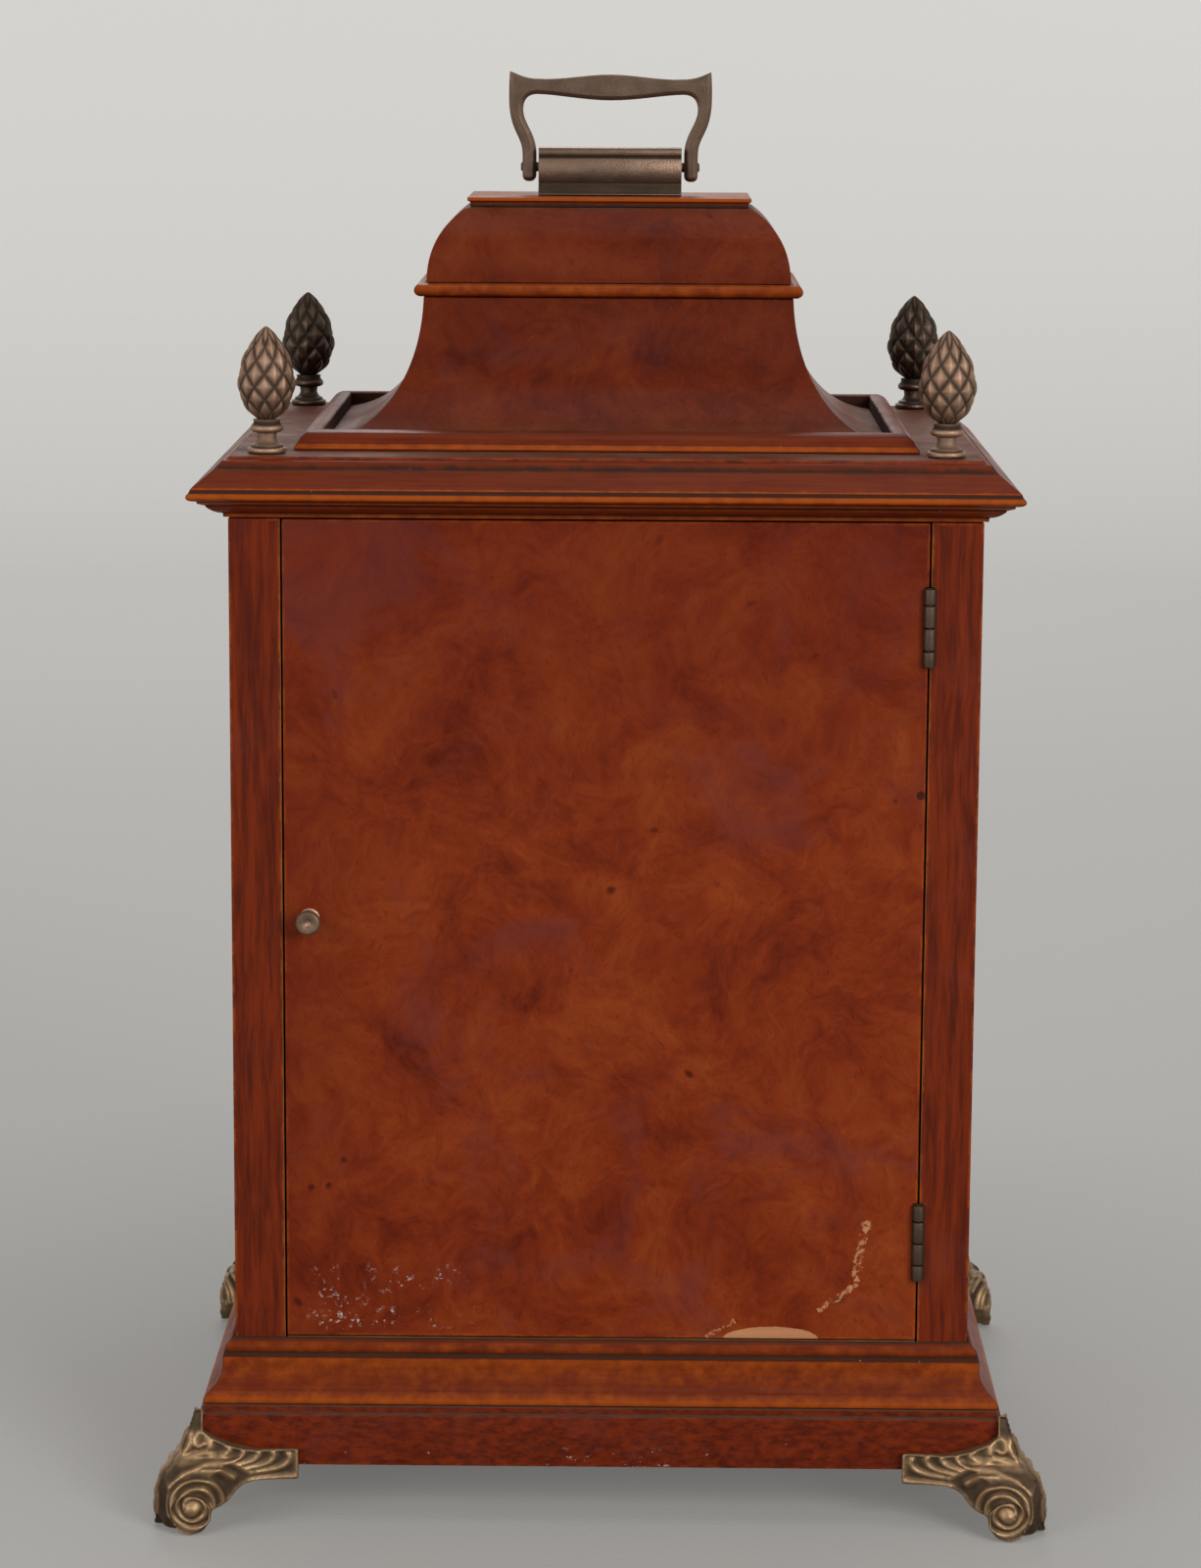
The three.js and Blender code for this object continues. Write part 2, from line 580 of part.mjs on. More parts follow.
// Right half of the handle's outline from the middle of the top, then mirrored: a shallow bow
// with horns at its ends, drawn in to two legs that straddle the saddle.
function handleBow() {
  const legIn = SADDLE_HALF + HANDLE_LEG_GAP;
  const legOut = legIn + HANDLE_LEG;
  const legFoot = pivotZ - HANDLE_LEG_END;
  const top = pivotZ + HANDLE_RISE;
  const draw = (path, side) => {
    const p = (x, down) => [side * x, top - down];
    path.push([...p(0, 1.1)], [...p(0.36 * HANDLE_HORN, 1.4)], [...p(0.7 * HANDLE_HORN, 2.2)],
      [...p(0.86 * HANDLE_HORN, 1.2)], [...p(0.96 * HANDLE_HORN, 0)],
      [...p(HANDLE_HORN, 3.4)], [...p(HANDLE_HORN, 11.5)],
      [...p(0.98 * HANDLE_HORN, 16.3)], [...p(legOut + 1.9, 20.7)], [...p(legOut + 0.2, 24.6)],
      [side * legOut, legFoot], [side * legIn, legFoot], [...p(legIn + 0.3, 23.7)],
      [...p(legIn + 2.4, 19.2)], [...p(legIn + 4.4, 14.2)], [...p(legIn + 4.1, 10.7)],
      [...p(legIn + 0.9, 7.5)], [...p(0.5 * legIn, 8.6)], [...p(0, 9.3)]);
  };
  const right = [];
  const left = [];
  draw(right, 1);
  draw(left, -1);
  const points = [...right, ...left.slice(1, -1).reverse()].map(([x, z]) => new THREE.Vector2(x, z));
  const shape = new THREE.Shape(points);
  const half = HANDLE_THICKNESS / 2;
  const bow = new THREE.ExtrudeGeometry(shape, {
    depth: HANDLE_THICKNESS - 2 * HANDLE_BEVEL,
    bevelEnabled: true,
    bevelSegments: 1,
    bevelSize: HANDLE_BEVEL,
    bevelOffset: -HANDLE_BEVEL,
    bevelThickness: HANDLE_BEVEL,
  }).rotateX(Math.PI / 2).translate(0, half - HANDLE_BEVEL, 0);
  return cut(bow, barAlongX(PIVOT_RADIUS + SEAT, -2 * HANDLE_HORN, 2 * HANDLE_HORN, 12)
    .translate(0, 0, pivotZ));
}

const rodEnd = SADDLE_HALF + HANDLE_LEG_GAP + HANDLE_LEG + 0.6;
add('handle_saddle', handleSaddle(), agedBronze);
add('handle', handleBow(), agedBronze);
add('handle_pivot_rod',
  barAlongX(PIVOT_RADIUS, -rodEnd, rodEnd, 12).translate(0, 0, pivotZ), agedBronze);

// ---- Finials and feet -----------------------------------------------------------------------------

// A turned pedestal that carries a cone whose scales stand up as a lattice of diamonds.
function finial() {
  const [r, h] = [PEDESTAL_RADIUS, PEDESTAL_HEIGHT];
  const neck = 0.68 * r;
  const pedestal = turned([
    [0, 0], [r, 0], [r, 0.13 * h], [0.77 * r, 0.21 * h], [0.5 * r, 0.4 * h], [0.53 * r, 0.58 * h],
    [0.84 * r, 0.71 * h], [0.84 * r, 0.81 * h], [neck, 0.9 * h], [neck, h], [0, h]], 8);
  const foot = h - FINIAL_SINK;
  const rows = [];
  for (let level = 1; level < FINIAL_ROWS; level += 1) {
    const t = level / FINIAL_ROWS;
    const radius = FINIAL_RADIUS * Math.sin(Math.PI * t ** 0.78) ** 0.72;
    rows.push({ radius, y: foot + (FINIAL_HEIGHT - foot) * t });
  }
  const pairs = [[0, foot], [1.1 * neck, foot], ...rows.map((row) => [row.radius, row.y]),
    [0, FINIAL_HEIGHT]];
  const cone = turned(pairs, FINIAL_STEPS);
  const position = cone.attributes.position;
  const point = new THREE.Vector3();
  for (let i = 0; i < position.count; i += 1) {
    point.fromBufferAttribute(position, i);
    const row = rows.findIndex((one) => Math.abs(one.y - point.y) < 1e-3);
    if (row < 0) continue;
    const step = Math.round((Math.atan2(point.x, point.z) / (2 * Math.PI)) * FINIAL_STEPS);
    const raised = (step + row) % 2 === 0 ? FINIAL_SCALE_RISE : -FINIAL_SCALE_RISE;
    const grow = 1 + raised / rows[row].radius;
    position.setXYZ(i, point.x * grow, point.y, point.z * grow);
  }
  return stand(join(pedestal, cone));
}

const finialX = caseX - FINIAL_INSET;
const finialY = caseY - FINIAL_INSET;
const quarters = [
  ['back_left', 1, 1], ['back_right', -1, 1], ['front_left', -1, -1], ['front_right', 1, -1]];
const finialSolid = finial();
for (const [where, sx, sy] of quarters) {
  add(`finial_${where}`, finialSolid.clone().translate(sx * finialX, sy * finialY, frameZ),
    sy > 0 ? agedBronze : darkBronze);
}

// One cast foot at the plinth's +x +y corner, from three outlines: the same scroll seen from the
// back and from the side, and the plan of its two wings and of the lug under the plinth. The scroll
// rolls up into a drum on each side, with a round eye in its end.
function foot() {
  const [wall, reach, h, flange] = [FOOT_FLANGE_WALL, FOOT_REACH, FOOT_HEIGHT, -FOOT_FLANGE];
  const flangeFoot = FOOT_CLEARANCE - FOOT_FLANGE_DROP;
  const shoulder = 0.66 * h;
  const neck = -0.11 * reach;
  const scroll = new THREE.Shape();
  scroll.moveTo(0.1 * reach, 0);
  scroll.lineTo(0.52 * reach, 0);
  scroll.quadraticCurveTo(0.84 * reach, 0.04 * h, 0.98 * reach, 0.16 * h);
  scroll.quadraticCurveTo(1.04 * reach, 0.32 * h, 0.9 * reach, 0.47 * h);
  scroll.quadraticCurveTo(0.68 * reach, 0.58 * h, 0.42 * reach, 0.62 * h);
  scroll.quadraticCurveTo(0.46 * reach, 0.73 * h, 0.3 * reach, 0.8 * h);
  scroll.lineTo(0.13 * reach, h);
  scroll.lineTo(neck, h);
  scroll.lineTo(neck, 0.82 * h);
  scroll.quadraticCurveTo(0.24 * flange, 0.7 * h, 0.58 * flange, shoulder);
  scroll.lineTo(flange, shoulder);
  scroll.lineTo(flange, flangeFoot);
  scroll.lineTo(0.55 * flange, flangeFoot);
  scroll.quadraticCurveTo(0.39 * flange, 0.37 * h, 0.35 * flange, 0.28 * h);
  scroll.quadraticCurveTo(0.28 * flange, 0.21 * h, 0.15 * flange, 0.2 * h);
  scroll.quadraticCurveTo(0.13 * flange, 0.06 * h, 0.1 * reach, 0);
  const fromBack = plateXZ(scroll, 2 * flange, -2 * flange, 3);
  const fromSide = barYZ(scroll, 2 * flange, -2 * flange, 3);
  const chamfer = 0.66 * reach;
  const wings = new THREE.Shape();
  wings.moveTo(SEAT, SEAT);
  wings.lineTo(flange, SEAT);
  wings.lineTo(flange, wall);
  wings.quadraticCurveTo(0.6 * flange, 1.07 * wall, 0.33 * flange, 0.56 * reach);
  wings.quadraticCurveTo(0.12 * flange, reach, 0.14 * reach, reach);
  wings.lineTo(chamfer, reach);
  wings.lineTo(reach, chamfer);
  wings.lineTo(reach, 0.14 * reach);
  wings.quadraticCurveTo(reach, 0.12 * flange, 0.56 * reach, 0.33 * flange);
  wings.quadraticCurveTo(1.07 * wall, 0.6 * flange, wall, flange);
  wings.lineTo(SEAT, flange);
  const plan = join(plateXY(wings, 0, 2 * h, 4),
    box(-FOOT_LUG, wall, -FOOT_LUG, wall, 0, FOOT_CLEARANCE - SEAT));
  const [drum, eye, rise] = [FOOT_DRUM_RADIUS, FOOT_EYE_RADIUS, FOOT_EYE_RISE];
  const drumX = 0.13 * reach;
  const drumEnd = turned([[0, -wall], [drum, -wall], [drum, 0], [0.92 * drum, rise],
    [0.5 * (drum + eye), 0], [eye, 0], [0.6 * eye, rise], [0, rise]], 10);
  return join(common(plan, fromBack, fromSide),
    drumEnd.clone().translate(drumX, reach, drum),
    drumEnd.clone().rotateZ(-Math.PI / 2).translate(reach, drumX, drum));
}

const cornerX = caseX + PLINTH_OVERHANG;
const cornerY = caseY + PLINTH_OVERHANG;
const footSolid = foot();
for (const [where, sx, sy] of quarters) {
  add(`foot_${where}`,
    outward(footSolid.clone().scale(sx, sy, 1)).translate(sx * cornerX, sy * cornerY, 0),
    agedBronze);
}

// ---- Doors, hinges and knobs ---------------------------------------------------------------------

// Both leaves of a back hinge. The knuckles alternate up the barrel; the case leaf carries the pin.
function hingeLeaf(middle, side) {
  const onCase = side < 0;
  const bottom = middle - HINGE_LENGTH / 2;
  const splits = [0, 0.21, 0.5, 0.79, 1];
  const wall = [0.1, 0.1 + HINGE_LEAF_WALL].map((d) => side * d).sort((a, b) => a - b);
  const clearOfBarrel = KNUCKLE_RADIUS + SEAT;
  const pieces = [box(hingeX + wall[0], hingeX + wall[1], hingeY - clearOfBarrel - HINGE_LEAF_DEPTH,
    hingeY - clearOfBarrel, bottom, bottom + HINGE_LENGTH)];
  for (let i = onCase ? 0 : 1; i < splits.length - 1; i += 2) {
    const low = bottom + splits[i] * HINGE_LENGTH + (i > 0 ? SEAT / 2 : 0);
    const high = bottom + splits[i + 1] * HINGE_LENGTH
      - (i < splits.length - 2 ? SEAT / 2 : 0);
    pieces.push(barAlongZ(KNUCKLE_RADIUS, low, high, 8).translate(hingeX, hingeY, 0));
    pieces.push(box(hingeX + wall[0], hingeX + wall[1], hingeY - clearOfBarrel - 1, hingeY - 1.3,
      low, high));
  }
  if (onCase) {
    pieces.push(barAlongZ(HINGE_PIN_RADIUS, bottom, bottom + HINGE_LENGTH, 6)
      .translate(hingeX, hingeY, 0));
    return join(...pieces);
  }
  const bore = barAlongZ(HINGE_PIN_RADIUS + RUNNING, bottom - 1, bottom + HINGE_LENGTH + 1, 6)
    .translate(hingeX, hingeY, 0);
  return cut(join(...pieces), bore);
}

// A turned knob on the Y axis, base at 0, its face outward with a shallow dimple.
const knob = () => turned([
  [0, 0], [0.85 * KNOB_RADIUS, 0], [0.85 * KNOB_RADIUS, 0.8], [0.5 * KNOB_RADIUS, 1.4],
  [0.42 * KNOB_RADIUS, 4], [0.8 * KNOB_RADIUS, 5.4], [KNOB_RADIUS, 6.2],
  [KNOB_RADIUS, KNOB_LENGTH - 0.8], [0.85 * KNOB_RADIUS, KNOB_LENGTH], [0, KNOB_LENGTH - 1.6]], 9);

const doorBlank = () =>
  cut(box(-doorHalf, doorHalf, caseY - DOOR_THICKNESS, caseY, doorZ, doorTop), ...backRecesses());

// Arched window: a square with a smaller half round above it. Grown by a margin on every side.
function archedWindow(margin) {
  const [half, arch] = [windowHalf + margin, WINDOW_ARCH + margin];
  const sill = windowSill - margin;
  const spring = windowSpring + margin;
  const shape = new THREE.Shape();
  shape.moveTo(-half, sill);
  shape.lineTo(half, sill);
  shape.lineTo(half, spring);
  shape.lineTo(arch, spring);
  shape.absarc(0, spring - margin, arch, Math.asin(margin / arch), Math.PI - Math.asin(margin / arch));
  shape.lineTo(-half, spring);
  return shape;
}

const knobX = doorHalf - KNOB_EDGE_INSET;
const backKnob = () => knob().translate(knobX, caseY + SEAT, doorZ + KNOB_HEIGHT);
add('back_door_panel', doorBlank(), burlVeneer);
add('back_door_knob', backKnob(), agedBronze);

const frontDoorY = -caseY;
const glassY = frontDoorY + DOOR_THICKNESS - GLASS_REBATE + SEAT;
const frontDoor = cut(turnedRound(doorBlank()),
  plateXZ(archedWindow(0), frontDoorY - 1, frontDoorY + DOOR_THICKNESS + 1),
  plateXZ(archedWindow(GLASS_LAP + SEAT), frontDoorY + DOOR_THICKNESS - GLASS_REBATE,
    frontDoorY + DOOR_THICKNESS + 1));
add('front_door_frame', frontDoor, burlVeneer);
add('front_door_glass', plateXZ(archedWindow(GLASS_LAP), glassY, glassY + GLASS_WALL), clearGlass);
add('front_door_knob', turnedRound(backKnob()), agedBronze);

for (const [place, middle] of Object.entries(hingeMiddles)) {
  add(`back_hinge_${place}_case_leaf`, hingeLeaf(middle, -1), agedBronze);
  add(`back_hinge_${place}_door_leaf`, hingeLeaf(middle, 1), agedBronze);
  add(`front_hinge_${place}_case_leaf`, turnedRound(hingeLeaf(middle, -1)), agedBronze);
  add(`front_hinge_${place}_door_leaf`, turnedRound(hingeLeaf(middle, 1)), agedBronze);
}

// ---- Dial -----------------------------------------------------------------------------------------

const at = (geometry, arbor) => geometry.translate(arbor.x, 0, arbor.y);
const fourPlaces = (inX, inZ) => [-1, 1].flatMap((side) => [plateZ + inZ, plateTop - inZ]
  .map((z) => [side * (PLATE_HALF - inX), z]));

// Arched plate with a centre hole and a winding hole; its feet reach back to the front plate.
function dialPlate() {
  const feet = fourPlaces(PILLAR_INSET, DIAL_FOOT_INSET).map(([x, z]) =>
    barAlongY(DIAL_FOOT_RADIUS, dialFrontY + 1, frontPlateY - SEAT, 8).translate(x, 0, z));
  const plate = plateXZ(archedWindow(DIAL_MARGIN), dialFrontY, dialBackY);
  return cut(join(plate, ...feet),
    at(barAlongY(hourPipeOuter + 0.6, dialFrontY - 1, dialBackY + 1), centreArbor),
    at(barAlongY(WINDING_SQUARE + 0.8, dialFrontY - 1, dialBackY + 1), barrelArbor));
}

const cannonInner = ARBOR_RADIUS + RUNNING;
const cannonOuter = cannonInner + CANNON_WALL;
const hourPipeInner = cannonOuter + RUNNING;
const hourPipeOuter = hourPipeInner + 1.1;

function chapterRing() {
  const ring = new THREE.Shape().absarc(0, 0, chapterOuter, 0, 2 * Math.PI);
  ring.holes.push(new THREE.Path().absarc(0, 0, chapterInner, 0, 2 * Math.PI, true));
  return at(plateXZ(ring, dialFrontY - SEAT - CHAPTER_WALL, dialFrontY - SEAT, 12), centreArbor);
}

const archBossZ = windowSpring - CHAPTER_MARGIN + ARCH_BOSS_GAP + ARCH_BOSS_RADIUS;
const archBoss = () => turned([
  [0, 0], [ARCH_BOSS_RADIUS, 0], [ARCH_BOSS_RADIUS, -0.8], [0.86 * ARCH_BOSS_RADIUS, -1.6],
  [0.8 * ARCH_BOSS_RADIUS, -1.2], [0, -1.2]], 16).translate(0, dialFrontY - SEAT, archBossZ);

add('dial_plate', dialPlate(), brass);
add('chapter_ring', chapterRing(), silvered);
add('arch_boss', archBoss(), silvered);

// ---- Movement frame ----------------------------------------------------------------------------

// Wooden bench that stands on the case floor and carries the movement.
function seatBoard() {
  const foot = floorTop + SEAT;
  const under = seatBoardTop - SEAT_BOARD_WALL;
  const [half, leg] = [innerX - SEAT_BOARD_SIDE_GAP, SEAT_BOARD_LEG];
  const shape = new THREE.Shape([
    [-half, foot], [-half + leg, foot], [-half + leg, under], [half - leg, under],
    [half - leg, foot], [half, foot], [half, seatBoardTop], [-half, seatBoardTop],
  ].map(([x, z]) => new THREE.Vector2(x, z)));
  return plateXZ(shape, frontPlateY - SEAT_BOARD_LIP, backPlateBackY + SEAT_BOARD_LIP);
}

const plateOutline = () => box(-PLATE_HALF, PLATE_HALF, 0, PLATE_WALL, plateZ, plateTop);
const hole = (radius, y0, y1, arbor) => at(barAlongY(radius, y0 - 1, y1 + 1, 8), arbor);

function frontPlate() {
  const [y0, y1] = [frontPlateY, frontPlateBackY];
  const stud = at(barAlongY(1.5, y0 - 8, y0 + 1, 12), minuteArbor);
  return cut(join(plateOutline().translate(0, y0, 0), stud),
    hole(ARBOR_RADIUS + RUNNING, y0, y1, centreArbor),
    hole(WINDING_RADIUS + RUNNING, y0, y1, barrelArbor),
    hole(PIVOT_END_RADIUS + RUNNING, y0, y1, thirdArbor),
    hole(PIVOT_END_RADIUS + RUNNING, y0, y1, escapeArbor),
    hole(PIVOT_END_RADIUS + RUNNING, y0, y1, palletArbor));
}

// The pillars are riveted into the back plate and end just short of the front one.
function backPlate() {
  const pillar = turned([
    [0, 0], [PILLAR_RADIUS + 1.5, 0], [PILLAR_RADIUS, 3],
    [PILLAR_RADIUS, PLATE_SPACING / 2 - 2], [PILLAR_RADIUS + 1.3, PLATE_SPACING / 2],
    [PILLAR_RADIUS, PLATE_SPACING / 2 + 2], [PILLAR_RADIUS, PLATE_SPACING - 3],
    [PILLAR_RADIUS + 1.5, PLATE_SPACING + 1], [0, PLATE_SPACING + 1]], 8);
  const pillars = fourPlaces(PILLAR_INSET, PILLAR_INSET).map(([x, z]) =>
    pillar.clone().translate(x, frontPlateBackY + SEAT, z));
  const [y0, y1] = [backPlateY, backPlateBackY];
  return cut(join(plateOutline().translate(0, y0, 0), ...pillars),
    hole(PIVOT_END_RADIUS + RUNNING, y0, y1, centreArbor),
    hole(PIVOT_END_RADIUS + RUNNING, y0, y1, barrelArbor),
    hole(PIVOT_END_RADIUS + RUNNING, y0, y1, thirdArbor),
    hole(PIVOT_END_RADIUS + RUNNING, y0, y1, escapeArbor),
    hole(5, y0, y1, palletArbor));
}

// Bridge on the back plate: it holds the pallet arbor's rear pivot and the suspension spring.
const cockBarY = [backPlateBackY + COCK_STAND_OFF, backPlateBackY + COCK_STAND_OFF + COCK_WALL];
function backCock() {
  const z = [palletZ - 4, palletZ + 9];
  const [x, leg] = [COCK_HALF, COCK_LEG];
  const bar = box(-x, x, ...cockBarY, ...z);
  const legs = [-1, 1].map((s) =>
    box(Math.min(s * x, s * (x - leg)), Math.max(s * x, s * (x - leg)),
      backPlateBackY + SEAT, cockBarY[0] + 1, ...z));
  const stud = box(-5, 5, cockBarY[1] - 1, pendulumY + 4, palletZ + 3, z[1]);
  const slotHalf = SPRING_HALF + 2 * SEAT;
  const slotHalfWall = SPRING_HALF_WALL + SEAT;
  const slot = box(-slotHalf, slotHalf, pendulumY - slotHalfWall, pendulumY + slotHalfWall,
    palletZ, z[1] - 2);
  return cut(join(bar, ...legs, stud), slot,
    hole(PIVOT_END_RADIUS + RUNNING, ...cockBarY, palletArbor));
}

add('seat_board', seatBoard(), carcassWood);
add('front_plate', frontPlate(), brass);
add('back_plate', backPlate(), brass);
add('back_cock', backCock(), brass);

// ---- Wheelwork ---------------------------------------------------------------------------------

// Tooth outlines: angles from the tooth's middle as shares of the tooth pitch, and the heights
// above and below the pitch circle in modules. A wheel's teeth are pointed; a pinion's are flat.
const wheelTooth = { flanks: [['root', -0.5], ['tip', 0]], above: 0.95, below: 1.35 };
const pinionTooth = { flanks: [['root', -0.14], ['tip', -0.08], ['tip', 0.08], ['root', 0.14]],
  above: 0.55, below: 1.1 };

// A toothed disc in x and z round the Y axis, with one tooth's middle at the phase angle. Wheels
// may be crossed out, which leaves four arms between the hub and the rim.
function toothed(teeth, module, tooth, phase, y0, y1, crossed = false) {
  const pitch = (2 * Math.PI) / teeth;
  const radius = {
    tip: module * (teeth / 2 + tooth.above), root: module * (teeth / 2 - tooth.below) };
  const points = [];
  for (let i = 0; i < teeth; i += 1) {
    const middle = phase + i * pitch;
    for (const [level, share] of tooth.flanks) {
      const angle = middle + share * pitch;
      points.push(new THREE.Vector2(
        radius[level] * Math.cos(angle), radius[level] * Math.sin(angle)));
    }
  }
  const shape = new THREE.Shape(points);
  if (crossed) {
    const rim = radius.root - 2.2;
    const hub = 0.26 * radius.root;
    const arm = 1.3;
    for (let i = 0; i < 4; i += 1) {
      const start = phase + (i * Math.PI) / 2;
      const [outA, inA] = [Math.asin(arm / rim), Math.asin(arm / hub)];
      const window = new THREE.Path();
      window.absarc(0, 0, rim, start + outA, start + Math.PI / 2 - outA, false);
      window.absarc(0, 0, hub, start + Math.PI / 2 - inA, start + inA, true);
      shape.holes.push(window);
    }
  }
  return plateXZ(shape, y0, y1, 3);
}

// Saw-like teeth that lean forward, for the escape wheel and the ratchet.
function sawToothed(teeth, tip, depth, lean, y0, y1, phase = 0) {
  const pitch = (2 * Math.PI) / teeth;
  const points = [];
  for (let i = 0; i < teeth; i += 1) {
    const angle = phase + i * pitch;
    for (const [radius, share] of [[tip - depth, 0], [tip, lean]]) {
      points.push(new THREE.Vector2(
        radius * Math.cos(angle + share * pitch), radius * Math.sin(angle + share * pitch)));
    }
  }
  return plateXZ(new THREE.Shape(points), y0, y1);
}

// The phase that puts a gap of the second wheel on a tooth of the first, along the line from the
// first arbor to the second.
function meshPhase(phase, teeth, nextTeeth, from, to) {
  const direction = Math.atan2(to.y - from.y, to.x - from.x);
  return direction + Math.PI + Math.PI / nextTeeth - ((phase - direction) * teeth) / nextTeeth;
}

const greatPhase = 0;
const centrePinionPhase = meshPhase(
  greatPhase, GREAT_TEETH, CENTRE_PINION_TEETH, barrelArbor, centreArbor);
const centreWheelPhase = 0;
const thirdPinionPhase = meshPhase(
  centreWheelPhase, CENTRE_TEETH, THIRD_PINION_TEETH, centreArbor, thirdArbor);
const thirdWheelPhase = 0;
const escapePinionPhase = meshPhase(
  thirdWheelPhase, THIRD_TEETH, ESCAPE_PINION_TEETH, thirdArbor, escapeArbor);
const cannonPhase = 0;
const minuteWheelPhase = meshPhase(
  cannonPhase, CANNON_TEETH, MINUTE_WHEEL_TEETH, centreArbor, minuteArbor);
const minutePinionPhase = 0;
const hourWheelPhase = meshPhase(
  minutePinionPhase, MINUTE_PINION_TEETH, HOUR_WHEEL_TEETH, minuteArbor, centreArbor);

// An arbor with thinner pivots at its ends, which run in the plates.
function arbor(radius, shoulder0, shoulder1, end0, end1) {
  return turned([[0, end0], [PIVOT_END_RADIUS, end0], [PIVOT_END_RADIUS, shoulder0],
    [radius, shoulder0], [radius, shoulder1], [PIVOT_END_RADIUS, shoulder1],
    [PIVOT_END_RADIUS, end1], [0, end1]], 8);
}
const plateShoulders = [frontPlateBackY + SEAT, backPlateY - SEAT];
const plateEnds = [frontPlateY + SEAT, backPlateBackY - SEAT];

// Drum with the great wheel as its front cover, bored for the winding arbor.
function goingBarrel() {
  const drum = barAlongY(BARREL_RADIUS, barrelY[0] - 1, barrelY[1], 24);
  const wheel = toothed(GREAT_TEETH, GREAT_MODULE, wheelTooth, greatPhase, ...greatWheelY);
  const bore = barAlongY(WINDING_RADIUS + RUNNING, greatWheelY[0] - 1, barrelY[1] + 1, 12);
  return at(cut(join(drum, wheel), bore), barrelArbor);
}

// Winding arbor: runs through the barrel, carries the ratchet wheel and ends in a square.
function windingArbor() {
  const half = WINDING_SQUARE / 2;
  const ratchetY = [frontPlateY - 3.2, frontPlateY - 1.2];
  const squareEnd = dialFrontY - 2.5;
  return at(join(
    turned([[0, squareEnd + 7], [WINDING_RADIUS, squareEnd + 7],
      [WINDING_RADIUS, barrelY[1] + 2], [PIVOT_END_RADIUS, barrelY[1] + 2],
      [PIVOT_END_RADIUS, plateEnds[1]], [0, plateEnds[1]]], 8),
    sawToothed(RATCHET_TEETH, RATCHET_RADIUS, 1.4, 0.8, ...ratchetY),
    box(-half, half, squareEnd, squareEnd + 8, -half, half)), barrelArbor);
}

// The centre arbor passes through the front plate and carries the hands.
function centreWheel() {
  const front = minuteHandY[0] - 2.6;
  const shaft = turned([[0, front], [ARBOR_RADIUS - 0.6, front], [ARBOR_RADIUS, front + 0.8],
    [ARBOR_RADIUS, plateShoulders[1]], [PIVOT_END_RADIUS, plateShoulders[1]],
    [PIVOT_END_RADIUS, plateEnds[1]], [0, plateEnds[1]]], 10);
  const pinionY = [greatWheelY[0] - 1, greatWheelY[1] + 1];
  return at(join(shaft,
    toothed(CENTRE_PINION_TEETH, GREAT_MODULE, pinionTooth, centrePinionPhase, ...pinionY),
    toothed(CENTRE_TEETH, CENTRE_MODULE, wheelTooth, centreWheelPhase, ...centreWheelY, true)),
  centreArbor);
}

function thirdWheel() {
  const pinionY = [centreWheelY[0] - 1, centreWheelY[1] + 1];
  return at(join(arbor(FINE_ARBOR_RADIUS, ...plateShoulders, ...plateEnds),
    toothed(THIRD_PINION_TEETH, CENTRE_MODULE, pinionTooth, thirdPinionPhase, ...pinionY),
    toothed(THIRD_TEETH, THIRD_MODULE, wheelTooth, thirdWheelPhase, ...thirdWheelY, true)),
  thirdArbor);
}

function escapeWheel() {
  const pinionY = [thirdWheelY[0] - 1, thirdWheelY[1] + 1];
  return at(join(arbor(FINE_ARBOR_RADIUS, ...plateShoulders, ...plateEnds),
    toothed(ESCAPE_PINION_TEETH, THIRD_MODULE, pinionTooth, escapePinionPhase, ...pinionY),
    sawToothed(ESCAPE_TEETH, ESCAPE_RADIUS, 1.8, 0.35, ...escapeWheelY)), escapeArbor);
}

// The teeth are cut through by the pipe's bore, so that wheel and pipe are one bored piece.
function cannonPinion() {
  const y = [minuteHandY[0] - 0.5, cannonPinionY[1]];
  const blank = join(barAlongY(cannonOuter, ...y),
    toothed(CANNON_TEETH, CANNON_MODULE, pinionTooth, cannonPhase, ...cannonPinionY));
  return at(cut(blank, barAlongY(cannonInner, y[0] - 1, y[1] + 1)), centreArbor);
}

function minuteWheel() {
  const blank = join(
    toothed(MINUTE_WHEEL_TEETH, CANNON_MODULE, wheelTooth, minuteWheelPhase, ...cannonPinionY),
    barAlongY(3, hourWheelY[0] - 0.4, cannonPinionY[1], 12),
    toothed(MINUTE_PINION_TEETH, HOUR_MODULE, pinionTooth, minutePinionPhase,
      hourWheelY[0] - 0.4, hourWheelY[1] + 0.4));
  return at(cut(blank, barAlongY(1.5 + RUNNING, hourWheelY[0] - 2, cannonPinionY[1] + 1, 12)),
    minuteArbor);
}

function hourWheel() {
  const y = [hourHandY[0] - 0.5, hourWheelY[1]];
  const blank = join(barAlongY(hourPipeOuter, ...y),
    toothed(HOUR_WHEEL_TEETH, HOUR_MODULE, wheelTooth, hourWheelPhase, ...hourWheelY));
  return at(cut(blank, barAlongY(hourPipeInner, y[0] - 1, y[1] + 1)), centreArbor);
}

add('going_barrel', goingBarrel(), brass);
add('winding_arbor', windingArbor(), steel);
add('centre_wheel', centreWheel(), brass);
add('third_wheel', thirdWheel(), brass);
add('escape_wheel', escapeWheel(), brass);
add('cannon_pinion', cannonPinion(), steel);
add('minute_wheel', minuteWheel(), brass);
add('hour_wheel', hourWheel(), brass);

// ---- Hands -------------------------------------------------------------------------------------

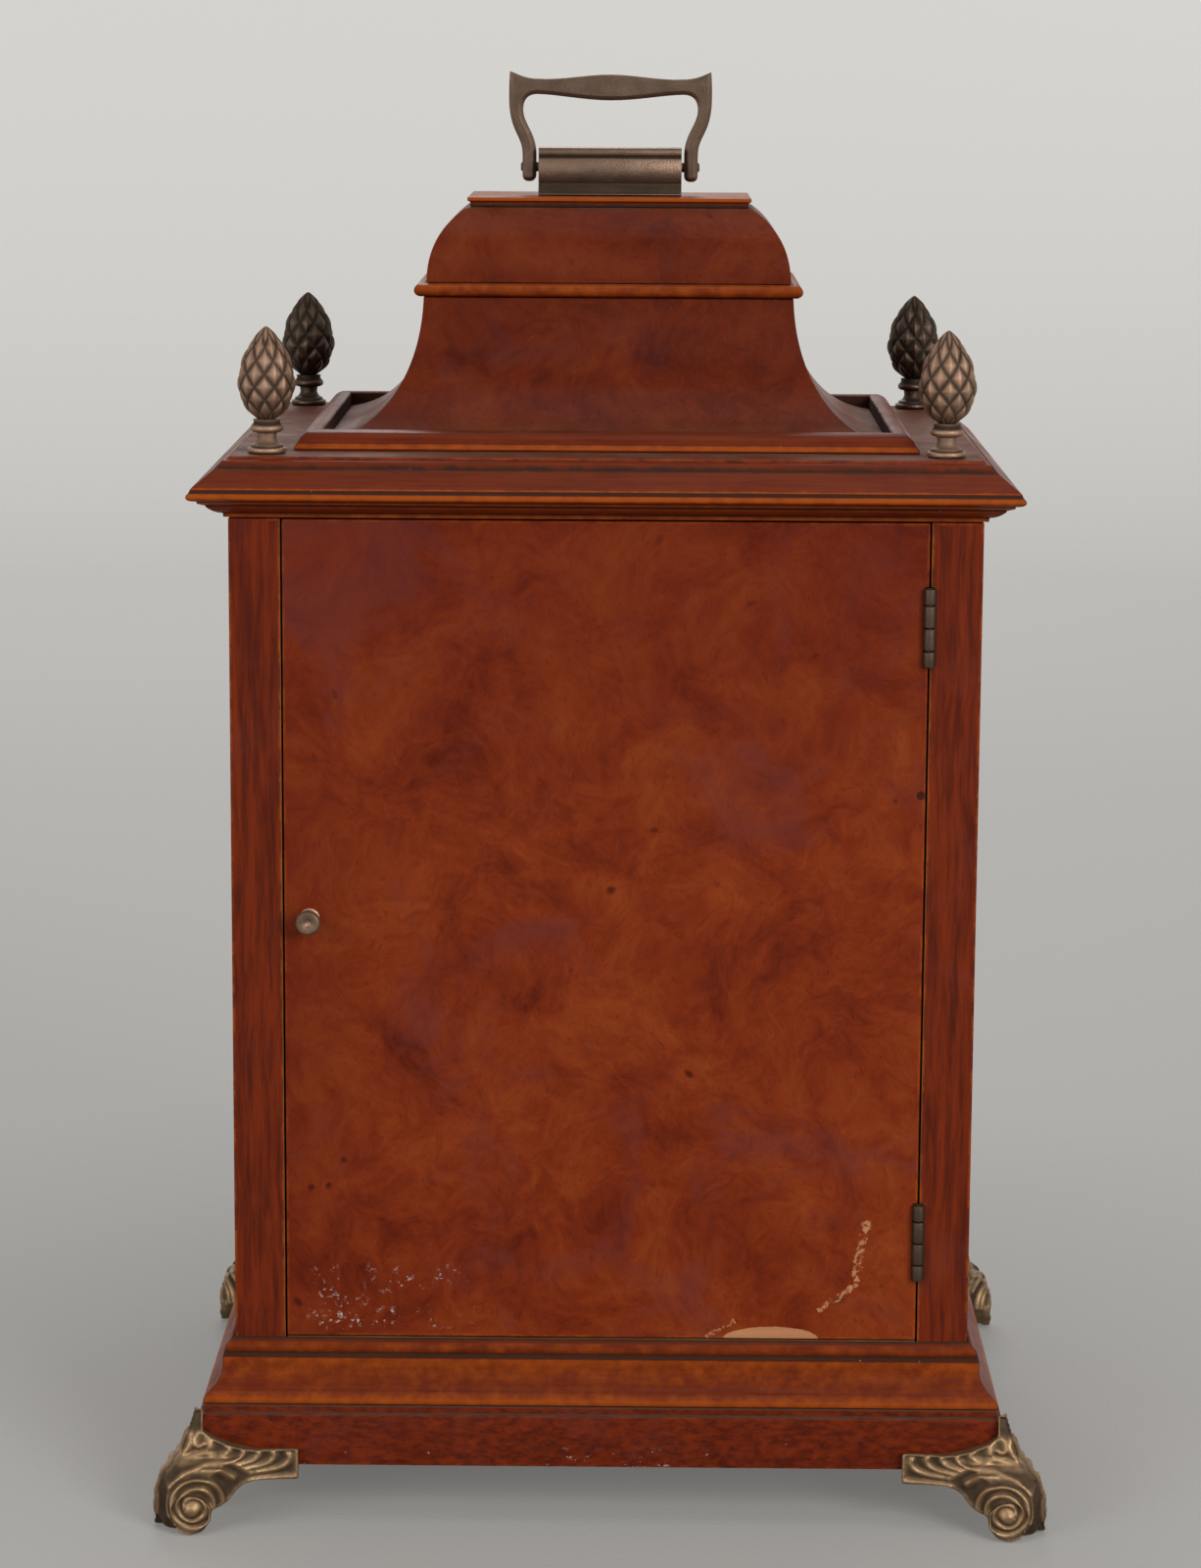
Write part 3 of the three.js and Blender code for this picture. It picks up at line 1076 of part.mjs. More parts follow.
// A hand pointing up from its hub, then turned clockwise seen from the front.
function hand(points, hubOuter, hubInner, y, turn) {
  const shape = new THREE.Shape();
  shape.moveTo(...points[0]);
  for (const [x, z] of points.slice(1)) shape.lineTo(x, z);
  for (const [x, z] of points.slice(0, -1).reverse()) shape.lineTo(-x, z);
  const blade = plateXZ(shape, ...y);
  const hub = barAlongY(hubOuter, ...y, 16);
  const bore = barAlongY(hubInner, y[0] - 1, y[1] + 1);
  return at(cut(join(blade, hub), bore).rotateY(turn), centreArbor);
}
const minuteTurn = (MINUTES_SHOWN / 60) * 2 * Math.PI;
const hourTurn = ((HOURS_SHOWN + MINUTES_SHOWN / 60) / 12) * 2 * Math.PI;
const blade = (length, profile) => profile.map(([x, share]) => [x, share * length]);
const minuteBlade = blade(chapterOuter - MINUTE_HAND_SHORT,
  [[2.6, 0], [1.2, 0.19], [1.2, 0.33], [3, 0.39], [1.2, 0.44], [0.9, 0.7], [0, 1]]);
const hourBlade = blade(chapterInner - HOUR_HAND_SHORT,
  [[3.4, 0], [1.8, 0.2], [1.8, 0.4], [6, 0.54], [4.6, 0.68], [1.6, 0.76], [0, 1]]);
add('minute_hand', hand(minuteBlade, cannonOuter + 2.8, cannonOuter + SEAT, minuteHandY, minuteTurn),
  bluedSteel);
add('hour_hand', hand(hourBlade, hourPipeOuter + 2.8, hourPipeOuter + SEAT, hourHandY, hourTurn),
  bluedSteel);
const collet = () => {
  const back = minuteHandY[0] - 0.5 - SEAT;
  return at(turned([[cannonInner, back], [cannonInner, back - 1.4], [3.2, back - 1.4],
    [4.6, back - 0.4], [4.6, back], [cannonInner, back]], 10), centreArbor);
};
add('hand_collet', collet(), brass);

// ---- Escapement and pendulum --------------------------------------------------------------------

// Anchor, arbor and crutch in one piece. Each pallet faces the wheel rim and stays clear of it.
function palletAnchor() {
  const span = (PALLET_SPAN_TEETH / 2) * ((2 * Math.PI) / ESCAPE_TEETH);
  const reach = ESCAPE_RADIUS + PALLET_CLEARANCE;
  const drop = (r) => r * Math.cos(span) - palletDistance;
  const anchor = new THREE.Shape();
  anchor.moveTo(-reach * Math.sin(span), drop(reach));
  anchor.quadraticCurveTo(-5.6, -2.6, 0, -2.2);
  anchor.quadraticCurveTo(5.6, -2.6, reach * Math.sin(span), drop(reach));
  anchor.lineTo((reach + 2.4) * Math.sin(span), drop(reach + 2.4));
  anchor.quadraticCurveTo(8, 1.6, 0, 3);
  anchor.quadraticCurveTo(-8, 1.6, -(reach + 2.4) * Math.sin(span), drop(reach + 2.4));
  const crutchY = [backPlateBackY + 4, backPlateBackY + 5.2];
  const crutch = box(-CRUTCH_HALF, CRUTCH_HALF, ...crutchY, -CRUTCH_LENGTH, 0);
  const pin = box(-CRUTCH_HALF, CRUTCH_HALF, crutchY[0], pendulumY - ROD_RADIUS - SEAT,
    -CRUTCH_LENGTH, 2 - CRUTCH_LENGTH);
  return at(join(arbor(ARBOR_RADIUS, plateShoulders[0], cockBarY[0] - SEAT, plateEnds[0],
    cockBarY[1] - SEAT),
    plateXZ(anchor, escapeWheelY[0] - 0.6, escapeWheelY[1] + 0.6, 5), crutch, pin), palletArbor);
}

// Suspension spring, rod and rating screw; the bob slides on the rod and rests on the nut.
function pendulumRod() {
  const nutTop = bobZ - BOB_RADIUS - SEAT;
  const spring = box(-SPRING_HALF, SPRING_HALF, pendulumY - SPRING_HALF_WALL,
    pendulumY + SPRING_HALF_WALL, palletZ - 9, palletZ + 5);
  const block = box(-SPRING_BLOCK_HALF, SPRING_BLOCK_HALF, pendulumY - ROD_RADIUS,
    pendulumY + ROD_RADIUS, palletZ - 13, palletZ - 7);
  const rod = barAlongZ(ROD_RADIUS, nutTop - RATING_NUT - ROD_TIP, palletZ - 12, 12)
    .translate(0, pendulumY, 0);
  const nut = barAlongZ(RATING_NUT_RADIUS, nutTop - RATING_NUT, nutTop, 16)
    .translate(0, pendulumY, 0);
  return join(spring, block, rod, nut);
}

function pendulumBob() {
  const half = BOB_HALF_WALL;
  const lens = turned([[0, -half], [0.5 * BOB_RADIUS, -0.84 * half], [0.85 * BOB_RADIUS, -0.42 * half],
    [BOB_RADIUS, -0.1 * half], [BOB_RADIUS, 0.1 * half], [0.85 * BOB_RADIUS, 0.42 * half],
    [0.5 * BOB_RADIUS, 0.84 * half], [0, half]], 16).translate(0, pendulumY, bobZ);
  const bore = barAlongZ(ROD_RADIUS + SEAT, bobZ - BOB_RADIUS - 1, bobZ + BOB_RADIUS + 1, 12)
    .translate(0, pendulumY, 0);
  return cut(lens, bore);
}

add('pallet_anchor', palletAnchor(), steel);
add('pendulum_rod', pendulumRod(), steel);
add('pendulum_bob', pendulumBob(), brass);

export default clock;
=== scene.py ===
"""Dresses the bracket clock: veneers, polished mouldings, cast bronze, dial and movement, and the stage.

Pieces are drawn in millimetres in the clock's own frame (origin on the floor under the middle of the
case, +Z up, dial towards -Y, back door towards +Y) and turned into metres when they are finished.
"""

import json
import math

import bmesh
import bpy
import numpy as np
from mathutils import Matrix, Vector

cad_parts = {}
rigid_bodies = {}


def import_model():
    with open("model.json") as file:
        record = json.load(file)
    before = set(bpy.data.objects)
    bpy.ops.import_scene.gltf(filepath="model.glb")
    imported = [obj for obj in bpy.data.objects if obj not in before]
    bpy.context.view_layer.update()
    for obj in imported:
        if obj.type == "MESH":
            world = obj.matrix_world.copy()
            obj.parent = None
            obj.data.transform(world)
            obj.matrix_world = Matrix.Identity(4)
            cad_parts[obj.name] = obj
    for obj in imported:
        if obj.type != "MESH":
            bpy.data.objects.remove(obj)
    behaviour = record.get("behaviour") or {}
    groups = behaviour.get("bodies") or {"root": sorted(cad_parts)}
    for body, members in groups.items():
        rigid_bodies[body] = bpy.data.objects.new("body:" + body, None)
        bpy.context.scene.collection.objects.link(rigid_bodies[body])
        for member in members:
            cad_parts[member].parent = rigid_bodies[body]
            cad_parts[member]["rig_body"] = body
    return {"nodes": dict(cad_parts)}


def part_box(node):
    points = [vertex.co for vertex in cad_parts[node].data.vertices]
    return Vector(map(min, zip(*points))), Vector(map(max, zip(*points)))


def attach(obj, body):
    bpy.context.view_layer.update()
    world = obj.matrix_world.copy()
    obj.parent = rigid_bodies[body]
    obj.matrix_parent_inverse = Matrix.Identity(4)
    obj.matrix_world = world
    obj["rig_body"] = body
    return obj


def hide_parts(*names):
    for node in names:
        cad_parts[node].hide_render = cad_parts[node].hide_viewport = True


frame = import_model()

bl_info = {
    "name": "Bracket clock",
    "version": (1, 0, 0),
    "blender": (4, 5, 0),
    "location": "3D View > Sidebar > Clock",
    "description": "Veneered bracket clock with a caddy top, cast feet and a spring-driven movement",
    "category": "Object",
}

MM = 0.001                  # a millimetre in metres
PHOTO_SIZE = (1226, 1600)   # width and height of the photograph in pixels


def limits(node):
    """Lowest and highest corner of a CAD node, in millimetres."""
    low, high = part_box(node)
    return low / MM, high / MM


# ---- Sizes and places taken from the frame -----------------------------------------------------

SIDE_LOW, SIDE_HIGH = limits("case_side_left")
CASE_X = -SIDE_LOW.x        # half the case's width
CASE_Y = SIDE_HIGH.y        # half the case's depth
MITRE = CASE_X - CASE_Y     # |x| - |y| on the line of a mitre


def body_of(node):
    return frame["nodes"][node]["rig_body"]


def middle_of(node):
    """Middle of a CAD node's box, in millimetres."""
    low, high = limits(node)
    return (low + high) / 2


# ---- Colours and sizes that a user would change --------------------------------------------------


def linear(red, green, blue):
    """Colour of a photograph's pixel, 0 to 255, as the linear value that a material takes."""
    def channel(value):
        share = value / 255
        return share / 12.92 if share <= 0.04045 else ((share + 0.055) / 1.055) ** 2.4
    return (channel(red), channel(green), channel(blue))


def shaded(colour, share):
    """A colour made darker, or lighter with a share above 1."""
    return [min(1, channel * share) for channel in colour]


def colour_setting(name, description, red, green, blue):
    """Property for a colour that a user would change."""
    return bpy.props.FloatVectorProperty(
        name=name, description=description, default=linear(red, green, blue), subtype="COLOR",
        min=0, max=1)


def length_setting(name, description, default):
    """Property for a length in millimetres, held in metres."""
    return bpy.props.FloatProperty(
        name=name, description=description, default=default * MM, unit="LENGTH", min=0)


class ClockColours(bpy.types.PropertyGroup):
    """Finishes of the clock."""

    burl_dark: colour_setting("Burl, dark", "Shadowed clouds of the burl veneer", 88, 24, 8)
    burl_mid: colour_setting("Burl, middle", "Ground of the burl veneer", 126, 45, 14)
    burl_light: colour_setting("Burl, light", "Bright swirls of the burl veneer", 150, 66, 24)
    # Haze colour: partly bloom in the old polish and partly painted sheen.
    bloom_and_sheen: colour_setting("Haze", "Bluish bloom in the old polish", 112, 52, 46)
    crossband: colour_setting("Crossbanding", "Straight veneer of the plinth and the top", 80, 26, 12)
    moulding: colour_setting("Moulding", "Ground of the polished mouldings", 112, 42, 11)
    # Pale fillet colour: rubbed polish and painted highlight.
    worn_and_highlight: colour_setting("Worn edge", "Rubbed fillets of the mouldings", 166, 76, 16)
    # Dark groove colour: old wax and dust, and painted shade.
    grime_and_shade: colour_setting("Grime", "Old wax and dust in the grooves", 52, 38, 30)
    dust: colour_setting("Dust", "Dust on what faces up", 108, 80, 64)
    timber: colour_setting("Timber", "Plain wood inside the case", 150, 104, 60)
    bronze: colour_setting("Bronze", "Worn bronze of the knobs and near finials", 166, 134, 112)
    foot_bronze: colour_setting("Foot bronze", "Yellower bronze of the feet", 164, 134, 100)
    bronze_dark: colour_setting("Dark bronze", "Patina in the hollows of the castings", 62, 48, 36)
    # The far finials take this colour darkened by half: painted shade.
    bronze_old: colour_setting("Old bronze", "Bronze of the handle, hinges and far finials", 124, 102, 87)
    brass_old: colour_setting("Matted brass", "Ground of the dial plate", 150, 118, 62)
    brass: colour_setting("Brass", "Lacquered brass of the dial and the movement", 190, 152, 84)
    steel: colour_setting("Steel", "Polished steel arbors and pinions", 158, 160, 164)
    blued: colour_setting("Blued steel", "Hands", 26, 34, 66)
    silver: colour_setting("Silvering", "Silvered chapter ring", 206, 202, 188)
    backdrop: colour_setting("Backdrop", "Pale stage", 214, 212, 208)


class ClockSizes(bpy.types.PropertyGroup):
    """Sizes of the finer work."""

    edge_round: length_setting("Edge round", "Rounding of the boards' edges", 0.8)
    handle_bevel: length_setting("Handle bevel", "Width of the bevel round the handle's field", 1.35)
    finial_scale: length_setting("Finial scale", "How far a scale of the finial stands up", 0.9)
    foot_relief: length_setting("Foot relief", "Height of the ridges cast on the feet", 1.4)
    numeral_width: length_setting("Numeral stroke", "Width of a numeral's thick stroke", 1.9)


# Small marks and dirt, which no setting changes.
BARE_WOOD_DARK, BARE_WOOD_LIGHT = linear(180, 116, 76), linear(214, 156, 112)
KNOT_MARK = linear(40, 14, 8)
PAINT_SPECKS = linear(196, 184, 174)
PLINTH_SCUFFS = linear(196, 180, 182)
LOW_SPOTS = linear(170, 160, 150)
# Dark red of the painted shade over the upper back door.
UPPER_SHADE_RED = linear(86, 20, 8)
GROOVE_SPECKS = (0.4, 0.36, 0.32)


# ---- Shader helpers ------------------------------------------------------------------------------

class Value:
    """A socket inside a material that can be used in an expression."""

    def __init__(self, paint, socket):
        self.paint = paint
        self.socket = socket

    def maths(self, operation, *values):
        return self.paint.add("Math", {"operation": operation}, dict(enumerate(values)))

    def __add__(self, other):
        return self.maths("ADD", self, other)

    def __mul__(self, other):
        return self.maths("MULTIPLY", self, other)

    def __sub__(self, other):
        return self.maths("SUBTRACT", self, other)

    def __rsub__(self, other):
        return self.maths("SUBTRACT", other, self)

    def __truediv__(self, other):
        return self.maths("DIVIDE", self, other)

    def __pow__(self, other):
        return self.maths("POWER", self, other)

    def __abs__(self):
        return self.maths("ABSOLUTE", self)

    def __gt__(self, other):
        return self.maths("GREATER_THAN", self, other)

    def __lt__(self, other):
        return self.maths("LESS_THAN", self, other)

    def lower(self, other):
        return self.maths("MINIMUM", self, other)

    def higher(self, other):
        return self.maths("MAXIMUM", self, other)

    def ease(self, start, end):
        """0 at start, 1 at end, smooth between them; start may be the larger."""
        sockets = {"Value": self, "From Min": start, "From Max": end}
        return self.paint.add("MapRange", {"interpolation_type": "SMOOTHSTEP"}, sockets)

    __radd__ = __add__
    __rmul__ = __mul__


class Paint:
    """One node material, built up by expressions and ended by a call of surface()."""

    def __init__(self, name):
        self.material = bpy.data.materials.new(name)
        self.material.use_nodes = True
        self.tree = self.material.node_tree
        self.tree.nodes.clear()
        self.place = self.add("TexCoord", out="Object")
        self.facing = self.add("TexCoord", out="Normal")
        self.x, self.y, self.z = self.split(self.place)

    def add(self, kind, settings=None, sockets=None, out=0):
        """Adds a node: its settings first, a ramp's stops among them, then its sockets."""
        node = self.tree.nodes.new("ShaderNode" + kind)
        for key, value in (settings or {}).items():
            if key == "stops":
                ramp = node.color_ramp
                while len(ramp.elements) < len(value):
                    ramp.elements.new(0.5)
                for element, (position, colour) in zip(ramp.elements, value):
                    element.position = position
                    element.color = (*colour, 1)
            else:
                setattr(node, key, value)
        for key, value in (sockets or {}).items():
            if isinstance(value, Value):
                self.tree.links.new(value.socket, node.inputs[key])
            elif node.inputs[key].type == "RGBA":
                node.inputs[key].default_value = (*tuple(value)[:3], 1)
            else:
                node.inputs[key].default_value = value
        return Value(self, node.outputs[out])

    def split(self, vector):
        node = self.add("SeparateXYZ", sockets={0: vector}).socket.node
        return [Value(self, output) for output in node.outputs]

    def join(self, x, y, z):
        return self.add("CombineXYZ", sockets={0: x, 1: y, 2: z})

    def stretch(self, vector, x, y, z):
        """A place with its axes scaled: a small factor draws a pattern out along that axis."""
        return self.add("VectorMath", {"operation": "MULTIPLY"}, {0: vector, 1: (x, y, z)})

    def shift(self, vector, by, amount):
        """Moves a place by a noise colour, for wandering grain."""
        centred = self.add("VectorMath", {"operation": "SUBTRACT"}, {0: by, 1: (0.5, 0.5, 0.5)})
        scaled = self.add("VectorMath", {"operation": "SCALE"}, {0: centred, "Scale": amount})
        return self.add("VectorMath", {"operation": "ADD"}, {0: vector, 1: scaled})

    def noise(self, vector, size, detail=3.0, rough=0.5, twist=0.0, out=0):
        """Clouds whose lumps are about as large as size, in metres."""
        sockets = {"Vector": vector, "Scale": 1 / size, "Detail": detail, "Roughness": rough,
                   "Distortion": twist}
        return self.add("TexNoise", sockets=sockets, out=out)

    def cells(self, vector, size):
        """Distance from the nearest of scattered points about size apart, as a share of size."""
        return self.add("TexVoronoi", sockets={"Vector": vector, "Scale": 1 / size}, out="Distance")

    def mix(self, factor, first, second):
        settings = {"data_type": "RGBA", "blend_type": "MIX", "clamp_factor": True}
        return self.add("Mix", settings, {0: factor, 6: first, 7: second}, out=2)

    def ramp(self, factor, *stops):
        return self.add("ValToRGB", {"stops": stops}, {0: factor})

    def attribute(self, name):
        return self.add("Attribute", {"attribute_name": name}, out="Fac")

    def bump(self, height, depth):
        return self.add("Bump", sockets={"Height": height, "Distance": depth, "Strength": 1.0})

    def surface(self, **sockets):
        """Ends the material in a Principled surface; names are its sockets' with _ for a space."""
        named = {key.replace("_", " "): value for key, value in sockets.items()}
        shader = self.add("BsdfPrincipled", sockets=named)
        output = self.tree.nodes.new("ShaderNodeOutputMaterial")
        self.tree.links.new(shader.socket, output.inputs["Surface"])
        return self.material


# ---- Mesh helpers --------------------------------------------------------------------------------

def curve(start, moves, steps=10):
    """Points of a section. Each move is a straight line to (out, z, wear), or a curve whose one or
    two handles come before its end. Wear is 1 on a rubbed edge and -1 in a groove; on the mouldings the
    high values also carry painted highlight and the low ones painted shade."""
    points = [start]
    for move in moves:
        begin = points[-1]
        end, wear = move[-3:-1], move[-1]
        if len(move) == 3:
            points.append(move)
            continue
        handles = [move[i:i + 2] for i in range(0, len(move) - 3, 2)]
        knots = [begin[:2], *handles, end]
        degree = len(knots) - 1
        for step in range(1, steps + 1):
            t = step / steps
            weights = [math.comb(degree, i) * (1 - t) ** (degree - i) * t ** i
                       for i in range(degree + 1)]
            out, z = [sum(w * knot[axis] for w, knot in zip(weights, knots)) for axis in (0, 1)]
            points.append((out, z, begin[2] + (wear - begin[2]) * t))
    return points


def mitred(section, closed):
    """Carries a section round the case with mitred corners."""
    bm = bmesh.new()
    wear = bm.verts.layers.float.new("wear")
    corner = []
    for out, z, worn in section:
        vert = bm.verts.new((CASE_X + out, CASE_Y + out, z))
        vert[wear] = worn
        corner.append(vert)
    last = corner + corner[:1] if closed else corner
    edges = [bm.edges.new(pair) for pair in zip(last, last[1:])]
    for flip in ((-1, 1, 1), (1, -1, 1), (-1, 1, 1), (1, -1, 1)):
        made = bmesh.ops.extrude_edge_only(bm, edges=edges)["geom"]
        verts = [item for item in made if isinstance(item, bmesh.types.BMVert)]
        edges = [item for item in made if isinstance(item, bmesh.types.BMEdge)]
        bmesh.ops.scale(bm, vec=flip, verts=verts)
    bmesh.ops.remove_doubles(bm, verts=bm.verts, dist=1e-4)
    if not closed:
        rims = [edge for edge in bm.edges if edge.is_boundary]
        bmesh.ops.edgeloop_fill(bm, edges=rims)
    return bm


def spun(pairs, steps, centre=(0, 0, 0), axis=(0, 0, 1)):
    """Turned solid from [radius, height] pairs on an axis through the centre."""
    bm = bmesh.new()
    verts = [bm.verts.new((radius, 0, height)) for radius, height in pairs]
    edges = [bm.edges.new(pair) for pair in zip(verts, verts[1:])]
    bmesh.ops.spin(bm, geom=verts + edges, cent=(0, 0, 0), axis=(0, 0, 1), angle=2 * math.pi,
                   steps=steps, use_merge=True, use_duplicate=False)
    bmesh.ops.remove_doubles(bm, verts=bm.verts, dist=1e-4)
    turn = Vector((0, 0, 1)).rotation_difference(Vector(axis)).to_matrix().to_4x4()
    bmesh.ops.transform(bm, matrix=Matrix.Translation(centre) @ turn, verts=bm.verts)
    return bm


def cad_copy(node):
    """A CAD node's shape in millimetres, its triangles merged to whole faces."""
    bm = bmesh.new()
    bm.from_mesh(frame["nodes"][node].data)
    bmesh.ops.scale(bm, vec=(1 / MM,) * 3, verts=bm.verts)
    bmesh.ops.remove_doubles(bm, verts=bm.verts, dist=1e-3)
    bmesh.ops.dissolve_limit(bm, angle_limit=math.radians(0.5), verts=bm.verts, edges=bm.edges)
    return bm


def slab(outline, y0, y1, mirrored=False):
    """Solid between two planes across Y, from an outline in x and z whose third value is wear. A
    mirrored outline is its right half, from the middle of one edge to the middle of the other."""
    bm = bmesh.new()
    wear = bm.verts.layers.float.new("wear")
    verts = []
    for x, z, worn in outline:
        vert = bm.verts.new((x, y0, z))
        vert[wear] = worn
        verts.append(vert)
    for pair in zip(verts, verts[1:]):
        bm.edges.new(pair)
    if mirrored:
        bmesh.ops.mirror(bm, geom=bm.verts[:] + bm.edges[:], axis="X", merge_dist=1e-3)
    else:
        bm.edges.new((verts[-1], verts[0]))
    face = bmesh.ops.edgeloop_fill(bm, edges=bm.edges[:])["faces"][0]
    made = bmesh.ops.extrude_face_region(bm, geom=[face])["geom"]
    top = [item for item in made if isinstance(item, bmesh.types.BMVert)]
    bmesh.ops.translate(bm, vec=(0, y1 - y0, 0), verts=top)
    bmesh.ops.recalc_face_normals(bm, faces=bm.faces)
    return bm


def flat_faces(bm):
    """The two end faces of a slab."""
    return [face for face in bm.faces if abs(face.normal.y) > 0.99]


def bar(bm, start, end, width, y0, y1):
    """Square bar between two points in x and z, from one plane across Y to another."""
    begin, finish = Vector((start[0], 0, start[1])), Vector((end[0], 0, end[1]))
    along = finish - begin
    turn = Matrix.Rotation(math.atan2(along.x, along.z), 4, "Y")
    size = Matrix.Diagonal((width, abs(y1 - y0), along.length, 1))
    place = Matrix.Translation((begin + finish) / 2 + Vector((0, (y0 + y1) / 2, 0)))
    bmesh.ops.create_cube(bm, size=1, matrix=place @ turn @ size)


def ribbon(path, radii, back):
    """Tapered cast stroke along a path in x and z, half sunk in the plane y = back."""
    curve_data = bpy.data.curves.new("stroke", "CURVE")
    curve_data.dimensions = "3D"
    curve_data.bevel_depth = 1.0
    curve_data.bevel_resolution = 2
    curve_data.resolution_u = 5
    spline = curve_data.splines.new("BEZIER")
    spline.bezier_points.add(len(path) - 1)
    for point, (x, z), radius in zip(spline.bezier_points, path, radii):
        point.co = (x, back, z)
        point.handle_left_type = point.handle_right_type = "AUTO"
        point.radius = radius
    curve_data.use_fill_caps = True
    holder = bpy.data.objects.new("stroke", curve_data)
    bm = bmesh.new()
    bm.from_mesh(holder.to_mesh())
    holder.to_mesh_clear()
    bpy.data.objects.remove(holder)
    bpy.data.curves.remove(curve_data)
    depth = 1.4
    return wear_by(bm, lambda co: 0.9 - 1.2 * (co.y - back + depth) / depth)


def merge(bm, other):
    """Adds another drawing to this one and frees it."""
    mesh = bpy.data.meshes.new("part")
    other.to_mesh(mesh)
    other.free()
    bm.from_mesh(mesh)
    bpy.data.meshes.remove(mesh)
    return bm


def turned_to(bm, angle, axis="Z", centre=(0, 0, 0)):
    """Turns a drawing round an axis through a point, in degrees."""
    turn = Matrix.Rotation(math.radians(angle), 3, axis)
    bmesh.ops.rotate(bm, cent=centre, matrix=turn, verts=bm.verts)
    return bm


def wear_by(bm, rule):
    """Sets each point's wear from its place in millimetres."""
    layer = bm.verts.layers.float.get("wear") or bm.verts.layers.float.new("wear")
    for vert in bm.verts:
        vert[layer] = rule(vert.co)
    return bm


def baked(name, bm, modifier, **settings):
    """A drawing in millimetres after one modifier, as a new drawing."""
    mesh = bpy.data.meshes.new(name)
    bm.to_mesh(mesh)
    bm.free()
    holder = bpy.data.objects.new(name, mesh)
    bpy.context.scene.collection.objects.link(holder)
    applied = holder.modifiers.new(name, modifier)
    for key, value in settings.items():
        setattr(applied, key, value)
    result = holder.evaluated_get(bpy.context.evaluated_depsgraph_get())
    finished = bmesh.new()
    finished.from_mesh(result.to_mesh())
    result.to_mesh_clear()
    bpy.data.objects.remove(holder)
    bpy.data.meshes.remove(mesh)
    return finished


def bored(bm, tool):
    """A drawing with another one cut out of it."""
    many_sided = [face for face in bm.faces if len(face.verts) > 4]
    bmesh.ops.triangulate(bm, faces=many_sided)
    mesh = bpy.data.meshes.new("tool")
    bmesh.ops.recalc_face_normals(tool, faces=tool.faces)
    tool.to_mesh(mesh)
    tool.free()
    cutter = bpy.data.objects.new("tool", mesh)
    bpy.context.scene.collection.objects.link(cutter)
    finished = baked("bored", bm, "BOOLEAN", object=cutter, operation="DIFFERENCE", solver="EXACT")
    bpy.data.objects.remove(cutter)
    bpy.data.meshes.remove(mesh)
    return finished


def rounded_edges(bm, width, crease):
    """Rounds the edges of a drawing that are sharper than the crease, in degrees."""
    bmesh.ops.dissolve_limit(bm, angle_limit=math.radians(0.5), verts=bm.verts, edges=bm.edges)
    sharp = [edge for edge in bm.edges
             if edge.is_manifold and edge.calc_face_angle() > math.radians(crease)]
    bmesh.ops.bevel(bm, geom=sharp, affect="EDGES", offset=width, offset_type="OFFSET",
                    segments=2, profile=0.5, material=-1, clamp_overlap=True)


def placed(name, bm, material, crease, edge):
    """Turns a drawing in millimetres into an object in metres, its edges rounded by a width if one is
    given. Faces that meet at less than the crease are shaded as one, but when the edges are rounded, big
    faces stay flat."""
    flat_area = 1.5e-4
    bmesh.ops.remove_doubles(bm, verts=bm.verts, dist=1e-4)
    bmesh.ops.recalc_face_normals(bm, faces=bm.faces)
    if edge:
        rounded_edges(bm, edge, crease)
    bmesh.ops.scale(bm, vec=(MM,) * 3, verts=bm.verts)
    mesh = bpy.data.meshes.new(name)
    bm.to_mesh(mesh)
    bm.free()
    mesh.materials.append(material)
    made = bpy.data.objects.new(name, mesh)
    bpy.context.scene.collection.objects.link(made)
    mesh.shade_smooth()
    mesh.set_sharp_from_angle(angle=math.radians(crease))
    if edge:
        for polygon in mesh.polygons:
            polygon.use_smooth = polygon.area < flat_area
    return made


def piece(node, bm, material, crease=35, edge=0.0):
    """The piece that stands for a CAD node."""
    made = placed("dressed_" + node, bm, material, crease, edge)
    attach(made, body_of(node))
    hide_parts(node)
    return made


def dressed_copy(node, material, crease=35, edge=0.0):
    """The piece that stands for a CAD node and keeps its shape."""
    return piece(node, cad_copy(node), material, crease, edge)


def trim(name, bm, material, carrier, crease=35):
    """A piece with no CAD node of its own, carried by one."""
    made = placed(name, bm, material, crease, 0.0)
    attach(made, body_of(carrier))
    return made


# ---- Finishes ------------------------------------------------------------------------------------

def edge_distance(paint, node):
    """Distance from a board's nearest edge: the second least of the distances to its faces."""
    low, high = limits(node)
    reach = []
    for place, start, end in zip((paint.x, paint.y, paint.z), low * MM, high * MM):
        reach.append((place - start).lower(end - place).higher(0.0))
    x, y, z = reach
    return x.lower(y).higher(x.higher(y).lower(z))


def settled_dust(paint, amount):
    """Mask of dust on what faces up, in patches."""
    up = paint.split(paint.facing)[2]
    patches = paint.noise(paint.place, 0.012, 5, 0.6)
    return up.ease(0.7, 0.98) * (0.4 + patches.ease(0.3, 0.7) * 0.6) * amount


def polished(paint, colour, shine, height, depth=0.0001):
    """Old french polish over a colour: thin coat, uneven gloss, open pores."""
    smears = paint.noise(paint.place, 0.035, 4, 0.6)
    roughness = 0.32 + smears.ease(0.35, 0.7) * 0.16 + (1 - shine) * 0.5
    return paint.surface(
        Base_Color=colour, Roughness=roughness, Coat_Weight=shine * 0.07, Coat_Roughness=0.14,
        Specular_IOR_Level=0.1, IOR=1.45, Normal=paint.bump(height, depth))


